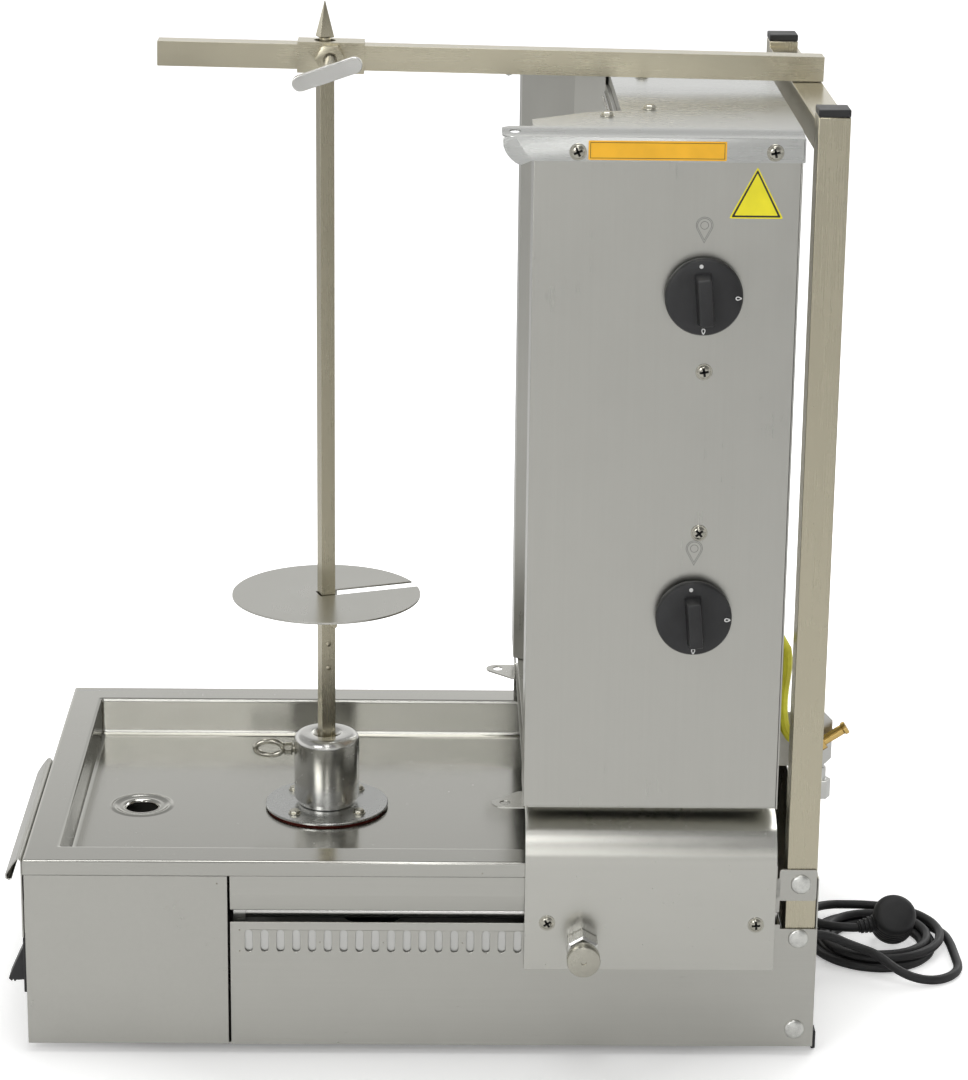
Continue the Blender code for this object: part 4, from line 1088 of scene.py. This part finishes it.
def make_carriage():
    make_saddle()
    refined("side_casing_near", "sheet_upright", 0.5)
    refined("side_casing_far", "sheet_upright", 0.5)
    make_hood()
    refined("carriage_rear_cover", "sheet_upright")
    refined("burner_plate", "sheet_upright")
    for name, height in KNOBS.items():
        make_burner(name)
        make_knob(name, height)
        make_burner_symbol(name)
        refined(f"gas_valve_{name}", "brass", 1.0)
        refined(f"valve_stem_{name}", "turned_steel")
    for name in ("near", "far"):
        refined(f"carriage_runner_{name}", "black_plastic", 0.6)
    make_films()
    flange = limits("hood")[0][1]
    for name, place, turn in (
            ("hood_screw_front", (flange, 435.2, 750.2), 24), ("hood_screw_rear", (flange, 584.2, 750.8), 12),
            ("casing_screw_upper", (FACE, 535.6, 579.9), 10),
            ("casing_screw_lower", (FACE, 535.8, 450.3), 40),
            ("cover_screw_front", (FACE, 422.8, 118.9), 33), ("cover_screw_rear", (FACE, 592.3, 118.1), 4)):
        screw_head(name, place, turn)
    roof = limits("hood")[2][1]
    for number, spot in enumerate(((132.0, 461.0), (99.0, 496.0), (-57.0, 499.0), (-132.0, 461.0)), 1):
        hex_head(f"roof_bolt_{number}", (*spot, roof + CROWN), "carriage", washer=5.8)
    make_plunger()
    make_gas_line()


def make_plunger():
    y, z = 451.5, 100.0
    low, high = limits("index_plunger")[0]
    cap = [(0, high - 1.2), (2.2, high - 1.2), (2.4, high - 0.2), (12.2, high), (13.1, high - 0.5),
           (13.5, high - 1.4), (13.5, high - 9.6), (12.9, high - 10.8), (12.0, high - 11.4),
           (3.2, high - 11.4), (3.2, low + 1.0), (2.4, low), (0, low)]
    put("plunger_knob", lathe(cap, (0.0, y, z), "X", 72), "plated", "index_plunger")
    low, high = limits("plunger_housing")[0]
    corner = 14.2
    body = [(3.7, high), (corner * 0.84, high), (corner, high - 1.6), (corner, low + 1.0),
            (corner * 0.9, low), (3.7, low)]
    put("plunger_nut", lathe(body, (0.0, y, z), "X", 6), "turned_steel", "plunger_housing", bevel=0.4)


def make_gas_line():
    for node, finish, bevel in (("gas_manifold", "brass", 0.3), ("gas_bracket", "zinc", 0.5),
                                ("gas_nozzle", "brass", 0.3), ("gas_test_nipple", "zinc", 0.5),
                                ("gas_hose", "yellow_hose", 0.0)):
        refined(node, finish, bevel)


def make_controls():
    refined("switch_housing", "black_plastic", 0.6)
    refined("rocker", "black_plastic", 0.5)
    refined("grease_drawer", "sheet_across", 0.4)


# ---------------------------------------------------------------- mains cord

CORD_RADIUS = 4.0
CORD_ROUTE = (
    (30.0, 665.6, 30.0), (30.0, 672.0, 29.7), (30.8, 681.0, 27.4), (33.4, 692.0, 23.6), (38.6, 703.5, 21.0),
    (46.5, 714.5, 19.6), (53.2, 722.2, 16.6), (59.4, 729.3, 13.2), (65.0, 737.6, 10.0), (68.1, 747.1, 7.3),
    (68.4, 757.2, 5.4), (66.0, 766.9, 4.4), (61.0, 775.6, 4.1), (53.8, 782.5, 4.1), (44.9, 787.2, 4.1),
    (35.1, 789.3, 4.1), (22.0, 789.6, 4.1), (10.0, 789.6, 4.1), (0.0, 789.5, 4.1), (-10.0, 789.3, 4.1),
)
COIL_CENTRE = (-15.0, 724.0)
COIL_START = 85.3
COIL_SWEEP = 1525
COIL_STEP = 20
COIL_RADIUS = 57.0
COIL_ENTRY = 8.5
COIL_SPREAD = 9.8
TAIL_RADIUS = 36.5
TAIL_END = math.radians(96)
TAIL_STEP = math.radians(15)
TAIL_STEPS = 12
TURN_PITCH = 8.4
PLUG_CENTRE = Vector((-12.0, 738.0, 26.8))
PLUG_TILT = math.radians(45)
RELIEF_TURN = math.radians(14)
RELIEF_LENGTH = 33.0


def eased(value, start, end):
    t = min(1.0, max(0.0, (value - start) / (end - start)))
    return t * t * (3 - 2 * t)


def coil_points():
    """Three turns on the floor that step inwards, then a climb and two turns on top that step outwards."""
    points = []
    for sweep in range(COIL_STEP, COIL_SWEEP, COIL_STEP):
        inward = eased(sweep, 265, 360) + eased(sweep, 625, 720)
        climb = eased(sweep, 895, 1005)
        outward = eased(sweep, 1245, 1340)
        radius = COIL_RADIUS + COIL_ENTRY * (1 - eased(sweep, 0, 75)) + COIL_SPREAD * eased(sweep, 1380, 1545)
        radius += TURN_PITCH * (outward - inward + climb / 2)
        angle = math.radians(COIL_START + sweep)
        points.append((COIL_CENTRE[0] + radius * math.cos(angle), COIL_CENTRE[1] + radius * math.sin(angle),
                       CORD_RADIUS + 0.1 + 7.1 * climb))
    return points


def tail_points(tip):
    """From the top of the coil over its inner turns and into the plug's relief."""
    points = []
    bend_centre = (tip.x - TAIL_RADIUS * math.sin(TAIL_END), tip.y + TAIL_RADIUS * math.cos(TAIL_END))
    for step in range(TAIL_STEPS, 0, -1):
        angle = TAIL_END - step * TAIL_STEP
        height = 11.4 + (tip.z - 11.4) * eased(-step, -TAIL_STEPS - 1, 0)
        points.append((bend_centre[0] + TAIL_RADIUS * math.sin(angle),
                       bend_centre[1] - TAIL_RADIUS * math.cos(angle), height))
    return points


def make_cord():
    place = Matrix.Translation(PLUG_CENTRE) @ Matrix.Rotation(PLUG_TILT, 4, "Y")
    sideways = place @ Matrix.Rotation(RELIEF_TURN, 4, "Z") @ AXES["-Y"]
    tip = sideways @ Vector((0, 0, RELIEF_LENGTH))
    pieces = make_plug(place, sideways)
    pieces.append(make_gland())
    curve = bpy.data.curves.new("mains_cord", "CURVE")
    curve.dimensions = "3D"
    curve.bevel_depth = CORD_RADIUS * MM
    curve.bevel_resolution = 5
    curve.use_fill_caps = True
    curve.resolution_u = 6
    spline = curve.splines.new("BEZIER")
    inside = sideways @ Vector((0, 0, RELIEF_LENGTH - 8))
    route = list(CORD_ROUTE) + coil_points() + tail_points(tip) + [tuple(tip), tuple(inside)]
    spline.bezier_points.add(len(route) - 1)
    for point, spot in zip(spline.bezier_points, route):
        point.co = at(*spot)
        point.handle_left_type = point.handle_right_type = "AUTO"
    curve.materials.append(MATERIALS["black_rubber"])
    cord = bpy.data.objects.new("mains_cord", curve)
    bpy.context.scene.collection.objects.link(cord)
    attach(cord, "base")
    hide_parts("cord_lead", "cord_coil")


def placed(mesh, matrix):
    """A mesh made round the design origin, moved by a matrix in design millimetres."""
    shift = matrix.copy()
    shift.translation = at(*matrix.translation)
    mesh.transform(shift @ Matrix.Translation(-at(0, 0, 0)))
    return mesh


def make_plug(place, sideways):
    """Round moulded body with finger grooves, a ribbed relief and two round pins."""
    half, radius = 15.0, 19.0
    body = [(0, half), (10, half), (radius - 4, half - 0.6), (radius - 1.4, half - 2.2), (radius, half - 5)]
    for i in range(4):
        top = half - 8 - 4.4 * i
        body += [(radius, top), (radius - 0.9, top - 0.8), (radius - 0.9, top - 1.6), (radius, top - 2.4)]
    body += [(radius, 2.5 - half), (radius - 1, 0.6 - half), (radius - 3, -half), (0, -half)]
    shell = placed(lathe(body, (0, 0, 0), steps=64), place)
    relief = [(0, 0), (9.2, 0), (8.6, 12)]
    for i in range(5):
        start = 13.5 + 3.8 * i
        wide = 8.3 - 0.55 * i
        relief += [(wide, start), (wide, start + 2.2), (wide - 1.3, start + 2.5), (wide - 1.3, start + 3.5)]
    relief += [(5.2, RELIEF_LENGTH - 0.4), (4.6, RELIEF_LENGTH), (0, RELIEF_LENGTH)]
    sleeve = placed(lathe(relief, (0, 0, 0), steps=40), sideways)
    main = put("plug_body", joined(shell, sleeve), "black_rubber", "mains_plug", bevel=0.2)
    pins, collars = [], []
    for y in (-9.5, 9.5):
        pin = lathe([(0, -half - 7), (2.4, -half - 7), (2.4, -half - 17), (1.8, -half - 18),
                     (0, -half - 18)], (0, y, 0))
        collar = lathe([(0, 1 - half), (2.35, 1 - half), (2.35, -half - 7), (0, -half - 7)], (0, y, 0))
        pins.append(placed(pin, place))
        collars.append(placed(collar, place))
    contacts = put("plug_pins", joined(*pins), "plated", body="base")
    sleeves = put("plug_pin_sleeves", joined(*collars), "black_rubber", body="base")
    return [main, contacts, sleeves]


def make_gland():
    """Screwed gland with a ribbed, tapered strain relief."""
    x, _, z = limits("cord_gland")
    place = ((x[0] + x[1]) / 2, 643.3, (z[0] + z[1]) / 2)
    profile = [(4.0, -8), (8, -8), (8, 0), (10.4, 0), (11, 0.6), (11, 7.2), (10.2, 8), (8.4, 8)]
    for i in range(4):
        start, wide = 9.0 + 3.2 * i, 8.2 - 0.75 * i
        profile += [(wide, start), (wide, start + 1.8), (wide - 1.2, start + 2.1), (wide - 1.2, start + 2.9)]
    profile += [(5.0, 21.6), (4.6, 22.0), (4.0, 22.0), (4.0, -8)]
    return put("gland", lathe(profile, place, "Y", 40), "black_rubber", "cord_gland")


def main():
    make_materials()
    make_studio()
    make_cord()
    make_base()
    make_frame()
    make_drive()
    make_spit()
    make_disc()
    make_carriage()
    make_controls()


main()
